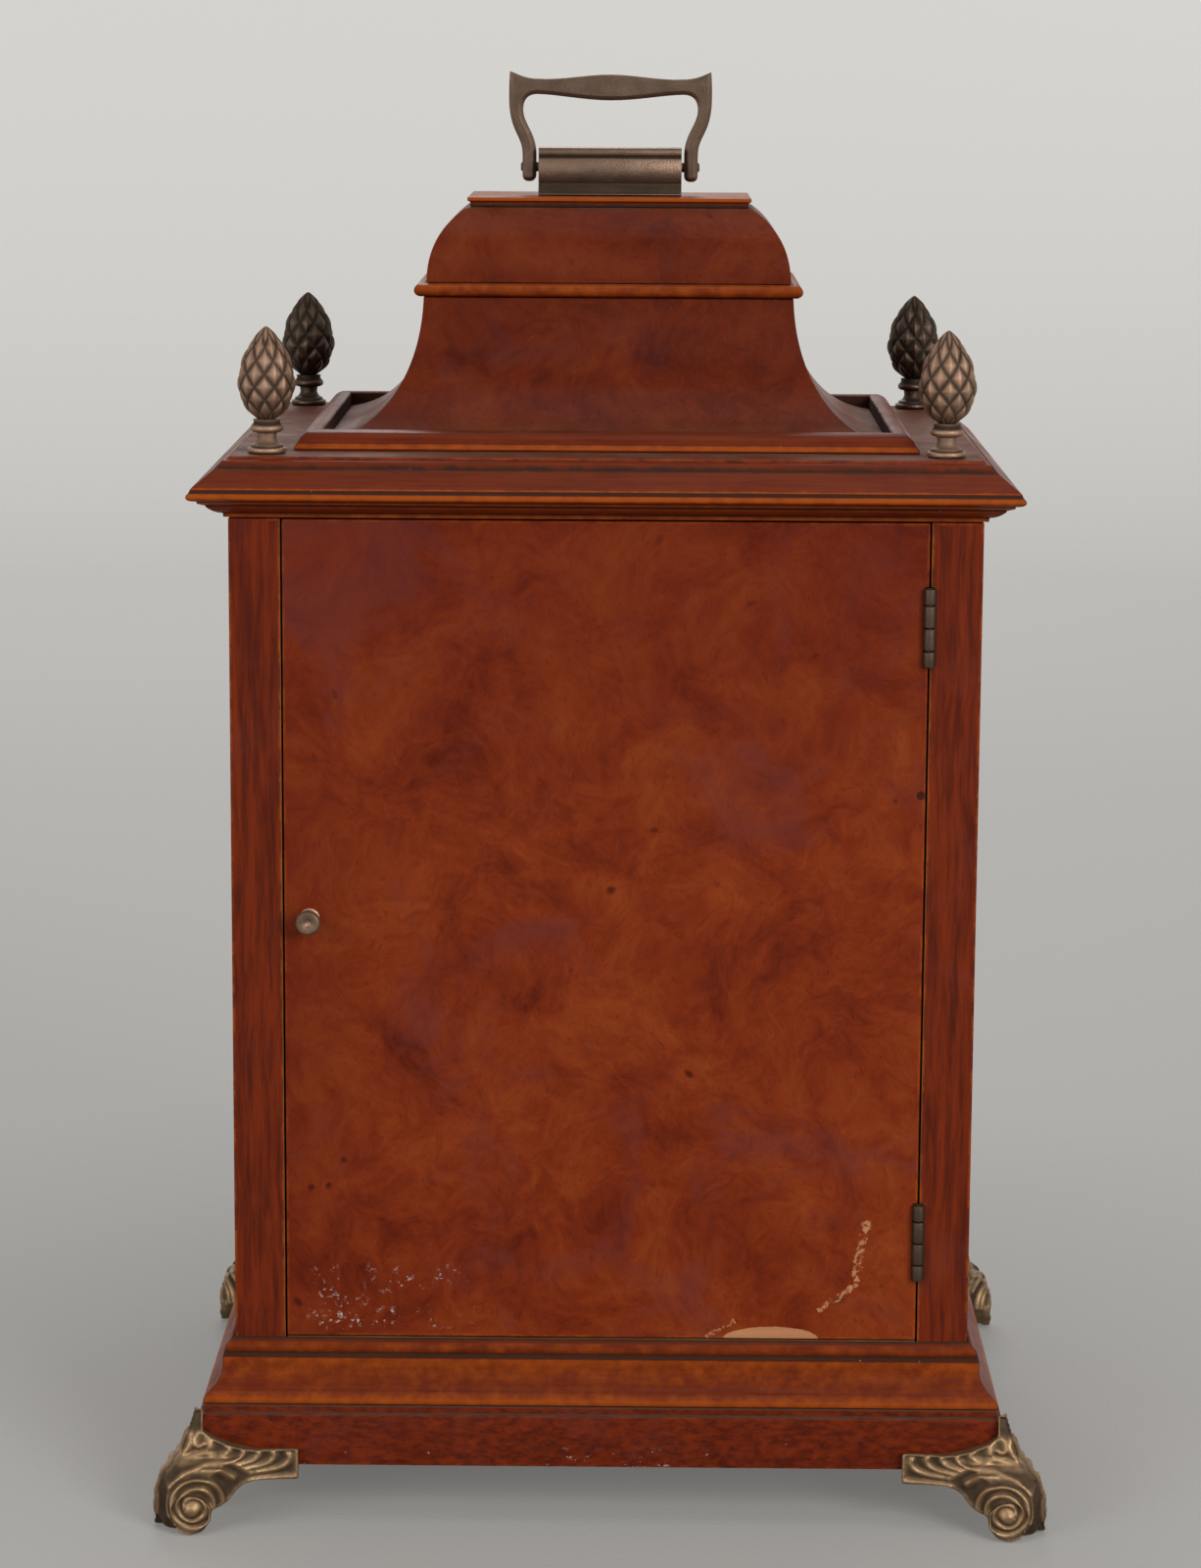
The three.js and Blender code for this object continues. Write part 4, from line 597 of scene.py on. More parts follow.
def straight_grain(paint, upright):
    """Colour and grain of straight veneer, upright or along each side of the case."""
    colours = bpy.context.scene.clock_colours
    wander = paint.noise(paint.place, 0.05, 2, out=1)
    place = paint.shift(paint.place, wander, 0.006)
    stretch = (1, 1, 0.07) if upright else (0.5, 0.5, 1)
    ribbon = paint.stretch(place, *stretch)
    grain = paint.noise(ribbon, 0.0022, 6, 0.65)
    bands = paint.noise(ribbon, 0.009, 3, 0.5)
    figure = paint.noise(place, 0.03, 4, 0.6, 0.8)
    colour = paint.mix(grain.ease(0.3, 0.7), colours.crossband, colours.burl_mid)
    colour = paint.mix(bands.ease(0.45, 0.7) * 0.3, colour, colours.burl_dark)
    # Haze over the figure: bloom in the polish and painted sheen.
    return paint.mix(figure.ease(0.5, 0.8) * 0.3, colour, colours.bloom_and_sheen), grain


def burl_figure(paint, depth=1.0):
    """Colour, relief and bloom of burl veneer: clouds, swirls, knots, pores, and a haze that is partly
    bloom in the polish and partly painted sheen.
    """
    colours = bpy.context.scene.clock_colours
    wander = paint.noise(paint.place, 0.05, 2, out=1)
    place = paint.shift(paint.place, wander, 0.04)
    clouds = paint.noise(place, 0.03, 5, 0.6, 0.6)
    swirls = paint.noise(place, 0.0085, 7, 0.6, 1.3)
    fine = paint.noise(place, 0.0028, 6, 0.7, 1.2)
    figure = clouds * 0.55 + swirls * 0.29 + fine * 0.16
    colour = paint.ramp(
        figure, (0.34, colours.burl_dark), (0.49, colours.burl_mid), (0.67, colours.burl_light))
    knots = paint.cells(place, 0.014).ease(0.15, 0.04) * paint.noise(place, 0.03).ease(0.5, 0.58)
    colour = paint.mix(knots * 0.8, colour, shaded(colours.burl_dark, 0.45))
    pores = paint.noise(paint.stretch(place, 1, 1, 0.35), 0.0011, 3).ease(0.58, 0.72)
    colour = paint.mix(pores * 0.35, colour, colours.burl_dark)
    # Patches of haze: bloom in the polish and painted sheen.
    bloom_and_sheen = paint.noise(paint.place, 0.05, 5, 0.62, 1.0).ease(0.5, 0.7)
    colour = paint.mix(bloom_and_sheen * 0.55, colour, colours.bloom_and_sheen)
    # A depth below 1 darkens the whole burl: painted shade, used on the caddy and the case sides.
    if depth < 1:
        colour = paint.mix(1 - depth, colour, shaded(colours.burl_dark, 0.3))
    return colour, swirls + pores * -0.6, bloom_and_sheen


def edge_wear(paint, colour, node, reach, amount):
    """Rubbed, paler lines along a board's edges."""
    edge = edge_distance(paint, node)
    patchy = paint.noise(paint.place, 0.007, 5, 0.7)
    worn = edge.ease(reach, 0.0002) * patchy.ease(0.42, 0.62)
    return paint.mix(worn * amount, colour, bpy.context.scene.clock_colours.worn_and_highlight)


def plain_wood(paint, upright):
    """Colour and grain of unpolished wood."""
    colours = bpy.context.scene.clock_colours
    wander = paint.noise(paint.place, 0.06, 2, out=1)
    place = paint.shift(paint.place, wander, 0.012)
    stretch = (1, 1, 0.06) if upright else (0.06, 1, 1)
    grain = paint.noise(paint.stretch(place, *stretch), 0.003, 6, 0.65)
    colour = paint.ramp(grain, (0.3, colours.burl_mid), (0.55, colours.timber),
                        (0.8, shaded(colours.timber, 1.3)))
    stain = paint.noise(paint.place, 0.05, 4, 0.6)
    return paint.mix(stain.ease(0.5, 0.8) * 0.4, colour, colours.grime_and_shade), grain


def burl(name, node=None, depth=1.0, marks_and_upper_shade=False, stiles=False):
    """Burl veneer under old polish on a board's outer face. A case side's narrow edges are banded
    with upright veneer, and the faces turned to the inside are plain wood."""
    paint = Paint(name)
    colours = bpy.context.scene.clock_colours
    colour, relief, bloom_and_sheen = burl_figure(paint, depth)
    normal_x, normal_y, _ = paint.split(paint.facing)
    if stiles:
        banding, grain = straight_grain(paint, True)
        side = abs(normal_x) > 0.7
        colour = paint.mix(side, banding, colour)
        relief = relief * side + grain * (1 - side)
    inward = normal_x * paint.x if stiles else normal_y * paint.y
    inner = (inward < -0.02) if node else None
    flecks = paint.cells(paint.place, 0.013).ease(0.03, 0.012)
    colour = paint.mix(flecks * 0.6, colour, colours.dust)
    if node:
        colour = edge_wear(paint, colour, node, 0.0011, 0.75)
    shine = 1 - flecks.higher(bloom_and_sheen * 0.4)
    # Painted shade towards the top of the door, then its old marks.
    if marks_and_upper_shade:
        colour = painted_upper_shade(paint, colour)
        colour, dull = old_marks(paint, colour)
        shine = shine * (1 - dull)
    dust = settled_dust(paint, 0.5)
    colour = paint.mix(dust, colour, colours.dust)
    if node:
        wood, grain = plain_wood(paint, True)
        colour = paint.mix(inner, colour, wood)
        shine = shine * (1 - inner)
    return polished(paint, colour, shine * (1 - dust), relief)


def painted_upper_shade(paint, colour):
    """Painted shade: darker and redder towards the top of the door and towards its knob side."""
    door_top, door_side = 320, 100
    wander = paint.noise(paint.place, 0.06, 3) - 0.5
    high = ((paint.z / MM + wander * 90) / door_top).ease(0.62, 1.05)
    side = ((paint.x / MM + wander * 60) / door_side).ease(0.55, 1.05)
    return paint.mix(high.higher(side) * 0.34, colour, UPPER_SHADE_RED)


def streak(paint, start, end, width):
    """Mask of a scratch between two points in x and z on the back door, in millimetres."""
    (x0, z0), (x1, z1) = start, end
    length = math.hypot(x1 - x0, z1 - z0)
    along_x, along_z = (x1 - x0) / length, (z1 - z0) / length
    dx, dz = paint.x / MM - x0, paint.z / MM - z0
    along = dx * along_x + dz * along_z
    ragged = paint.noise(paint.place, 0.0022, 5, 0.75) - 0.5
    across = abs(dx * along_z - dz * along_x + ragged * 7.0)
    broken = paint.noise(paint.place, 0.0016, 4, 0.7).ease(0.44, 0.5)
    return across.ease(width, 0.5 * width) * (along > 0) * (along < length) * broken


def old_marks(paint, colour):
    """Paint specks, a scrape and a chipped patch low on the back door, and a knot near its edge.
    Gives the colour and a mask of what has lost its polish. Places are in millimetres."""
    chip_x, chip_z = -56.4, 61
    knot_x, knot_z, knot_radius = -102.4, 243.6, 1.6
    x, z = paint.x / MM, paint.z / MM
    rear = paint.split(paint.facing)[1] > 0.7
    speckle = paint.noise(paint.place, 0.0016, 5, 0.75).ease(0.585, 0.62)
    patch = paint.noise(paint.place, 0.012, 3).ease(0.46, 0.56)
    zone = x.ease(40, 52) * x.ease(100, 90) * z.ease(62, 66) * z.ease(88, 78)
    specks = speckle * patch * zone * rear
    scrape = streak(paint, (-87.3, 101.6), (-83.2, 80.5), 1.3).higher(
        streak(paint, (-84.6, 79.8), (-71.6, 70.4), 0.9)).higher(
        streak(paint, (-34.5, 61.2), (-44.2, 66.8), 0.5))
    chip_shape = ((x - chip_x) / 15.4) ** 2 + ((z - chip_z) / 3.9) ** 2
    ragged = (paint.noise(paint.place, 0.004, 4, 0.6) - 0.5) * 0.5
    chip = (chip_shape + ragged).ease(1.05, 0.95) * rear
    bare = (scrape * rear).higher(chip)
    wood_tone = paint.noise(paint.stretch(paint.place, 0.1, 1, 1), 0.002, 4)
    raw = paint.mix(wood_tone, BARE_WOOD_LIGHT, BARE_WOOD_DARK)
    colour = paint.mix(bare * 0.9, colour, raw)
    knot_shape = ((x - knot_x) / knot_radius) ** 2 + ((z - knot_z) / knot_radius) ** 2
    knot = knot_shape.ease(1.2, 0.5)
    colour = paint.mix(knot * 0.8, colour, KNOT_MARK)
    colour = paint.mix(specks, colour, PAINT_SPECKS)
    return colour, bare.higher(specks)


def moulding(name):
    """Polished moulding: grain along its run, rubbed fillets with painted highlight, grime and painted
    shade in its grooves.
    """
    paint = Paint(name)
    colours = bpy.context.scene.clock_colours
    on_side = (abs(paint.x) - abs(paint.y)) > MITRE * MM
    along = paint.x * (1 - on_side) + paint.y * on_side
    across = paint.y * (1 - on_side) + paint.x * on_side
    place = paint.join(along * 0.08, across, paint.z)
    grain = paint.noise(place, 0.0016, 5, 0.65)
    figure = paint.noise(paint.join(along, across * 2.0, paint.z * 2.0), 0.03, 4, 0.6, 0.7)
    wear = paint.attribute("wear") + (paint.noise(paint.place, 0.005, 4, 0.6) - 0.5) * 1.1
    colour = paint.mix(grain.ease(0.35, 0.7) * 0.5 + figure.ease(0.45, 0.7) * 0.35,
                       colours.moulding, colours.burl_dark)
    # Paler where the section is high: rubbed polish and painted highlight on fillets and nosings.
    colour = paint.mix(wear.ease(0.1, 1.0) * 0.9, colour, colours.worn_and_highlight)
    # Darker where the section is low: grime and painted shade in the grooves.
    grime_and_shade = wear.ease(-0.25, -0.85)
    colour = paint.mix(grime_and_shade * 0.9, colour, colours.grime_and_shade)
    joint = abs(abs(paint.x) - abs(paint.y) - MITRE * MM).ease(0.00045, 0.0001)
    colour = paint.mix(joint * 0.7, colour, colours.grime_and_shade)
    flecks = paint.cells(paint.place, 0.0042).ease(0.075, 0.03) * grime_and_shade
    colour = paint.mix(flecks * 0.8, colour, GROOVE_SPECKS)
    dust = settled_dust(paint, 0.2)
    colour = paint.mix(dust, colour, colours.dust)
    shine = (1 - grime_and_shade) * (1 - dust)
    return polished(paint, colour, shine, grain + grime_and_shade * 0.8)


def plinth_flecks(paint):
    """White scuffs low on the middle of the plinth's back face."""
    x, z = paint.x / MM, paint.z / MM
    zone = x.ease(-26, -20) * x.ease(20, 14) * z.ease(19, 21) * z.ease(27, 24)
    place = paint.stretch(paint.place, 0.5, 1, 1)
    speckle = paint.noise(place, 0.002, 5, 0.75).ease(0.6, 0.63)
    return speckle * zone * (paint.split(paint.facing)[1] > 0.7)


def straight_veneer(name, upright, node, dusty=0.8):
    """Straight veneer with its grain upright, or along each side of the case."""
    paint = Paint(name)
    colours = bpy.context.scene.clock_colours
    colour, grain = straight_grain(paint, upright)
    colour = edge_wear(paint, colour, node, 0.0009, 0.5)
    # Darker in the plinth's groove and on its step: grime and painted shade.
    grime_and_shade = (paint.attribute("wear") + paint.noise(paint.place, 0.004) * 0.4).ease(-0.3, -0.7)
    dusty_grime_and_shade = [(a + b) / 2 for a, b in zip(colours.grime_and_shade, colours.dust)]
    colour = paint.mix(grime_and_shade * 0.85, colour, dusty_grime_and_shade)
    flecks = paint.cells(paint.place, 0.009).ease(0.05, 0.02) * paint.z.ease(0.032, 0.02)
    colour = paint.mix(flecks, colour, LOW_SPOTS)
    if node == "plinth":
        colour = paint.mix(plinth_flecks(paint), colour, PLINTH_SCUFFS)
    dust = settled_dust(paint, dusty)
    colour = paint.mix(dust, colour, colours.dust)
    return polished(paint, colour, 1 - dust, grain)


def timber(name):
    """Plain unpolished wood inside the case."""
    paint = Paint(name)
    colour, grain = plain_wood(paint, False)
    return paint.surface(Base_Color=colour, Roughness=0.62 + grain * 0.2,
                         Normal=paint.bump(grain, 0.0002))


def cast_metal(name, light, dark, polish=0.4):
    """Cast bronze or brass: dark in its hollows, rubbed on its ridges, lightly pitted."""
    paint = Paint(name)
    relief = paint.attribute("wear")
    patches = paint.noise(paint.place, 0.006, 5, 0.6)
    pits = paint.noise(paint.place, 0.0006, 3, 0.6)
    amount = (relief + (patches - 0.5) * 0.9).ease(-0.75, 0.7)
    colour = paint.mix(amount, dark, light)
    dust = settled_dust(paint, 0.22)
    colour = paint.mix(dust, colour, bpy.context.scene.clock_colours.dust)
    roughness = polish + (1 - amount) * 0.2 + patches * 0.1
    return paint.surface(Base_Color=colour, Metallic=1 - dust * 0.9 - (1 - amount) * 0.25,
                         Roughness=roughness, Normal=paint.bump(pits + patches * 2.0, 0.00012))


def worked_metal(name, colour, rough, tint=0.25):
    """Filed and polished metal with fine lines and a little tarnish."""
    paint = Paint(name)
    lines = paint.noise(paint.stretch(paint.place, 1, 1, 0.04), 0.0004, 3, 0.6)
    tarnish = paint.noise(paint.place, 0.012, 5, 0.65)
    shade = paint.mix(tarnish.ease(0.45, 0.75) * tint, colour, shaded(colour, 0.45))
    return paint.surface(Base_Color=shade, Metallic=1.0, Roughness=rough + lines * 0.12
                         + tarnish * 0.1, Normal=paint.bump(lines, 0.00002))


def black_wax(name):
    """Filling of the engraved marks: near black, with a little bloom."""
    paint = Paint(name)
    bloom = paint.noise(paint.place, 0.003, 4, 0.6)
    colour = paint.mix(bloom.ease(0.45, 0.8) * 0.3, (0.012, 0.011, 0.010), (0.06, 0.055, 0.05))
    return paint.surface(Base_Color=colour, Roughness=0.45 + bloom * 0.2,
                         Normal=paint.bump(bloom, 0.00002))


def clear_glass(name):
    """Thin old glass: clear, with a faint wave."""
    paint = Paint(name)
    waves = paint.noise(paint.place, 0.03, 2)
    return paint.surface(Base_Color=(0.94, 0.97, 0.96), Roughness=0.03 + waves * 0.02, IOR=1.45,
                         Transmission_Weight=1.0, Alpha=0.35, Normal=paint.bump(waves, 0.0003))


# ---- Operators -----------------------------------------------------------------------------------

class CLOCK_OT_stage(bpy.types.Operator):
    """Camera at the photograph's angle, pale sweep and soft lamps."""

    bl_idname = "clock.stage"
    bl_label = "Stage and camera"

    FOCAL_PIXELS = 4378.1
    CAMERA_PLACE = (-0.0101, 1.4654, 0.4894)
    PITCH, YAW, ROLL = 0.1759, -0.0083, 0.0058
    FLOOR_RADIUS, BEND, RISE = 2.2, 1.6, 3.2
    WORLD_COLOUR, WORLD_STRENGTH = (1.0, 0.99, 0.975, 1), 0.34
    LAMPS = (("top", (-0.2, 0.4, 2.3), 1.2, 5), ("key", (-1.3, 1.9, 1.1), 1.0, 32),
             ("fill", (1.6, 1.7, 0.8), 1.2, 17), ("front", (0.3, -2.2, 2.0), 1.4, 22))
    AIM = Vector((0, 0, 0.25))

    def execute(self, context):
        self.camera(context)
        self.sweep(context)
        self.lamps(context)
        context.scene.view_settings.view_transform = "Standard"
        return {"FINISHED"}

    def camera(self, context):
        """Camera that shows the clock as the photograph does."""
        data = bpy.data.cameras.new("photo_camera")
        data.sensor_fit = "AUTO"
        data.sensor_width = 36
        data.lens = self.FOCAL_PIXELS * data.sensor_width / max(PHOTO_SIZE)
        data.clip_start = 0.05
        away = Vector((-math.sin(self.YAW) * math.cos(self.PITCH),
                       -math.cos(self.YAW) * math.cos(self.PITCH), -math.sin(self.PITCH)))
        level = Vector((-math.cos(self.YAW), math.sin(self.YAW), 0))
        up = level.cross(away)
        right = math.cos(self.ROLL) * level + math.sin(self.ROLL) * up
        top = -math.sin(self.ROLL) * level + math.cos(self.ROLL) * up
        turn = Matrix((right, top, -away)).transposed().to_4x4()
        camera = bpy.data.objects.new("photo_camera", data)
        camera.matrix_world = Matrix.Translation(self.CAMERA_PLACE) @ turn
        context.scene.collection.objects.link(camera)
        context.scene.camera = camera

    def sweep(self, context):
        """Pale floor that curves up into a backdrop on every side."""
        radius, bend, steps = self.FLOOR_RADIUS, self.BEND, 12
        pairs = [(0.0, 0.0), (radius, 0.0)]
        for step in range(1, steps + 1):
            angle = math.pi / 2 * step / steps
            pairs.append((radius + bend * math.sin(angle), bend * (1 - math.cos(angle))))
        pairs.append((radius + bend, self.RISE))
        bm = spun(pairs, 96)
        bmesh.ops.recalc_face_normals(bm, faces=bm.faces)
        bmesh.ops.reverse_faces(bm, faces=bm.faces)
        mesh = bpy.data.meshes.new("stage_sweep")
        bm.to_mesh(mesh)
        bm.free()
        mesh.shade_smooth()
        mesh.materials.append(self.paper(context))
        sweep = bpy.data.objects.new("stage_sweep", mesh)
        context.scene.collection.objects.link(sweep)

    def paper(self, context):
        """Pale paper: lit, with the clock's shadow on it, and a glow that grows away from the clock
        for the camera and for reflections."""
        paint = Paint("stage_paper")
        colour = context.scene.clock_colours.backdrop
        tooth = paint.noise(paint.place, 0.002, 3)
        away = (paint.x * paint.x + paint.y * paint.y) ** 0.5
        path = self.light_path(paint)
        # The glow is dimmest beside the clock, painted shade round it, and brightest far up the sweep.
        shares = ((0.04, 0.21), (0.12, 0.31), (0.33, 0.35), (0.58, 0.46), (0.86, 0.84))
        stops = [(position, shaded(colour, share)) for position, share in shares]
        glow = paint.mix(path, (0, 0, 0), paint.ramp(away / 4.0, *stops))
        return paint.surface(Base_Color=shaded(colour, 0.47), Roughness=0.95,
                             Specular_IOR_Level=0.1, Emission_Color=glow, Emission_Strength=1.0,
                             Normal=paint.bump(tooth, 0.0002))

    def light_path(self, paint):
        """1 for rays from the camera and for reflected and refracted ones."""
        node = paint.add("LightPath").socket.node
        rays = [Value(paint, node.outputs[name])
                for name in ("Is Camera Ray", "Is Glossy Ray", "Is Transmission Ray")]
        return rays[0].higher(rays[1]).higher(rays[2])

    def lamps(self, context):
        """Even surroundings and four square lamps, each with its place, width and power."""
        world = bpy.data.worlds.new("studio")
        world.use_nodes = True
        ground = world.node_tree.nodes["Background"]
        ground.inputs["Color"].default_value = self.WORLD_COLOUR
        ground.inputs["Strength"].default_value = self.WORLD_STRENGTH
        context.scene.world = world
        for name, place, size, power in self.LAMPS:
            data = bpy.data.lights.new(name, "AREA")
            data.size = size
            data.energy = power
            lamp = bpy.data.objects.new(name, data)
            lamp.location = place
            towards = self.AIM - lamp.location
            lamp.rotation_euler = towards.to_track_quat("-Z", "Y").to_euler()
            context.scene.collection.objects.link(lamp)


class CLOCK_OT_mouldings(bpy.types.Operator):
    """Plinth, base moulding, cornice and the caddy's frame, bead and cap, all mitred."""

    bl_idname = "clock.mouldings"
    bl_label = "Mouldings"

    SLAB_HEIGHT = 17.2
    STEP_BACK = 1.8
    RAIL_WIDTH = 8.6
    BEAD_DEPTH = 3.0

    def execute(self, context):
        finish = moulding("polished_moulding")
        piece("base_moulding", mitred(self.base(), True), finish)
        piece("cornice", mitred(self.cornice(), True), finish)
        piece("caddy_frame", mitred(self.frame_rail(), True), finish)
        piece("caddy_bead", mitred(self.bead(), False), finish)
        piece("caddy_cap", mitred(self.cap(), False), finish)
        piece("plinth", mitred(self.plinth(), False),
              straight_veneer("crossbanded_plinth", False, "plinth"))
        return {"FINISHED"}

    def plinth(self):
        """Slab with a groove over it and a step set back."""
        low, high = limits("plinth")
        out = high.x - CASE_X
        step = out - self.STEP_BACK
        ledge = low.z + self.SLAB_HEIGHT
        # Third values: rubbed edge and painted highlight on the slab's top edge, grime and painted shade
        # in the groove and along the step.
        return curve((out - 0.6, low.z, 0.4), [
            (out, low.z, out, low.z + 0.6, 0.8), (out, ledge - 0.6, 0.4),
            (out, ledge, out - 0.6, ledge, 1.0), (step + 0.1, ledge, -1.0),
            (step, ledge + 0.1, -1.0), (step, ledge + 0.6, -0.6), (step, high.z - 0.9, 0.1),
            (step, high.z - 0.4, -0.9), (step, high.z, step - 0.5, high.z, -1.0)], 4)

    def base(self):
        """Fillet, hollow and bead that lead from the plinth in to the case."""
        low, high = limits("base_moulding")
        out = high.x - CASE_X
        z, h = low.z, high.z - low.z + 0.3
        # Third values: wear and painted highlight on the lip and the lower hollow, grime and painted
        # shade in the groove and under the case.
        return curve((0.3, z, -1), [
            (out - 0.5, z, -0.8), (out, z, out, z + 0.5, 0.6), (out, z + 0.07 * h, 0.75),
            (0.96 * out, z + 0.13 * h, 0.8 * out, z + 0.18 * h, 0.35),
            (0.78 * out, z + 0.2 * h, 0.2),
            (0.42 * out, z + 0.34 * h, 0.4 * out, z + 0.54 * h, 0.45),
            (0.4 * out, z + 0.68 * h, 0.6), (0.39 * out, z + 0.71 * h, -0.9),
            (0.25 * out, z + 0.75 * h, -1), (0.29 * out, z + 0.78 * h, 0.3),
            (0.36 * out, z + 0.85 * h, 0.22 * out, z + 0.92 * h, 0.35),
            (0.08 * out, z + h - 0.5, -0.9), (0.3, z + h - 0.3, -1)])

    def cornice(self):
        """Stacked mouldings that lead out to a rounded edge and back in to the deck."""
        low, high = limits("cornice")
        out = high.x - CASE_X
        z, h = low.z, high.z - low.z
        # Third values: wear and painted highlight on the nosing and fillets, grime and painted shade in
        # the grooves and dark lines.
        return curve((0.3, z, -0.6), [
            (0.11 * out, z, 0.5), (0.12 * out, z + 0.06 * h, 0.4), (0.13 * out, z + 0.07 * h, -1),
            (0.34 * out, z + 0.09 * h, 0.52 * out, z + 0.2 * h, 0.3),
            (0.53 * out, z + 0.225 * h, -1), (0.7 * out, z + 0.265 * h, 0.1),
            (0.74 * out, z + 0.28 * h, 0.8), (0.74 * out, z + 0.31 * h, -0.6),
            (0.98 * out, z + 0.325 * h, out, z + 0.39 * h, 0.85),
            (out, z + 0.44 * h, 0.95 * out, z + 0.455 * h, 0.7),
            (0.93 * out, z + 0.47 * h, -1), (0.9 * out, z + 0.52 * h, -1),
            (0.89 * out, z + 0.535 * h, 0.8), (0.84 * out, z + 0.57 * h, 0.1),
            (0.58 * out, z + 0.71 * h, 0.36 * out, z + 0.83 * h, -0.1),
            (0.31 * out, z + 0.86 * h, -1), (0.23 * out, z + 0.87 * h, -0.8),
            (0.18 * out, z + 0.98 * h, 0.08 * out, z + h, 0.3), (0.3, z + h, -0.8)])

    def frame_rail(self):
        """Rail with a rounded top that stands round the caddy's foot."""
        low, high = limits("caddy_frame")
        b = high.x - CASE_X
        z, h, r = low.z, high.z - low.z, self.RAIL_WIDTH
        return curve((b, z, -0.4), [
            (b, z + 0.1 * h, 0.9), (b - 0.02 * r, z + 0.2 * h, b - 0.09 * r, z + 0.3 * h, 0.5),
            (b - 0.12 * r, z + 0.34 * h, -0.8), (b - 0.15 * r, z + 0.37 * h, -0.2),
            (b - 0.23 * r, z + 0.78 * h, b - 0.62 * r, z + 0.95 * h, 0.1),
            (b - 0.8 * r, z + h, b - 0.92 * r, z + 0.94 * h, 0.0),
            (b - r, z + 0.84 * h, -0.9), (b - r, z, -1)])

    def bead(self):
        """Half-round edge between the skirt and the dome."""
        low, high = limits("caddy_bead")
        edge = high.x - self.BEAD_DEPTH - CASE_X
        return curve((edge, low.z, -0.9), [
            (edge + 0.4, low.z, 0.2), (edge + 4.0, low.z, edge + 4.0, high.z, edge + 0.2, high.z, 0.7),
            (edge, high.z, -0.6)], 16)

    def cap(self):
        """Hollow under a thin slab."""
        low, high = limits("caddy_cap")
        edge = high.x - CASE_X
        z, h = low.z, high.z - low.z
        return curve((edge - 0.9, z, -1), [
            (edge - 1.4, z + 0.5 * h, edge - 0.1, z + 0.6 * h, 0.2), (edge, z + 0.66 * h, 0.9),
            (edge, high.z - 0.4, 0.9), (edge, high.z, edge - 0.4, high.z, 0.7)], 6)


class CLOCK_OT_caddy(bpy.types.Operator):
    """Flared skirt and dome of the caddy top."""

    bl_idname = "clock.caddy"
    bl_label = "Caddy top"

    SKIRT_TOP = 61.2
    DOME_TOP = 47.4

    def execute(self, context):
        # The caddy's burl is darkened to a depth of 0.55: painted shade.
        finish = burl("burl_caddy", depth=0.55)
        low, high = limits("caddy_skirt")
        toe, top = high.x, self.SKIRT_TOP
        lip = low.z + 1.2
        rise = high.z - lip
        skirt = curve((toe - CASE_X, low.z, 0), [
            (toe - CASE_X, lip, 0),
            (top + 0.43 * (toe - top) - CASE_X, lip + 0.06 * rise,
             top + 0.03 * (toe - top) - CASE_X, lip + 0.44 * rise, top - CASE_X, high.z, 0)], 32)
        piece("caddy_skirt", mitred(skirt, False), finish)
        low, high = limits("caddy_dome")
        height = high.z - low.z
        dome = curve((high.x - CASE_X, low.z, 0), [
            (high.x - CASE_X, low.z + 0.65 * height, self.DOME_TOP - CASE_X, high.z, 0)], 24)
        piece("caddy_dome", mitred(dome, False), finish)
        return {"FINISHED"}


class CLOCK_OT_boards(bpy.types.Operator):
    """Case sides, top and floor boards and the movement's seat board."""

    bl_idname = "clock.boards"
    bl_label = "Boards"

    def execute(self, context):
        edge = context.scene.clock_sizes.edge_round / MM
        for node in ("case_side_left", "case_side_right"):
            # The case sides' burl is darkened to a depth of 0.8: painted shade.
            dressed_copy(node, burl("burl_" + node, node, 0.8, stiles=True), edge=edge)
        dressed_copy("case_top", straight_veneer("top_veneer", False, "case_top"), edge=edge)
        plain = timber("carcass_wood")
        dressed_copy("case_floor", plain, edge=edge)
        dressed_copy("seat_board", plain, edge=edge)
        return {"FINISHED"}


class CLOCK_OT_doors(bpy.types.Operator):
    """Back door panel, glazed front door and its glass."""

    bl_idname = "clock.doors"
    bl_label = "Doors"

    def execute(self, context):
        edge = context.scene.clock_sizes.edge_round / MM
        # The back door takes old marks and painted shade towards its top.
        for node, marks_and_upper_shade in (("back_door_panel", True), ("front_door_frame", False)):
            dressed_copy(node, burl("burl_" + node, node, marks_and_upper_shade=marks_and_upper_shade), edge=edge)
        dressed_copy("front_door_glass", clear_glass("clear_glass"), edge=0.2)
        return {"FINISHED"}


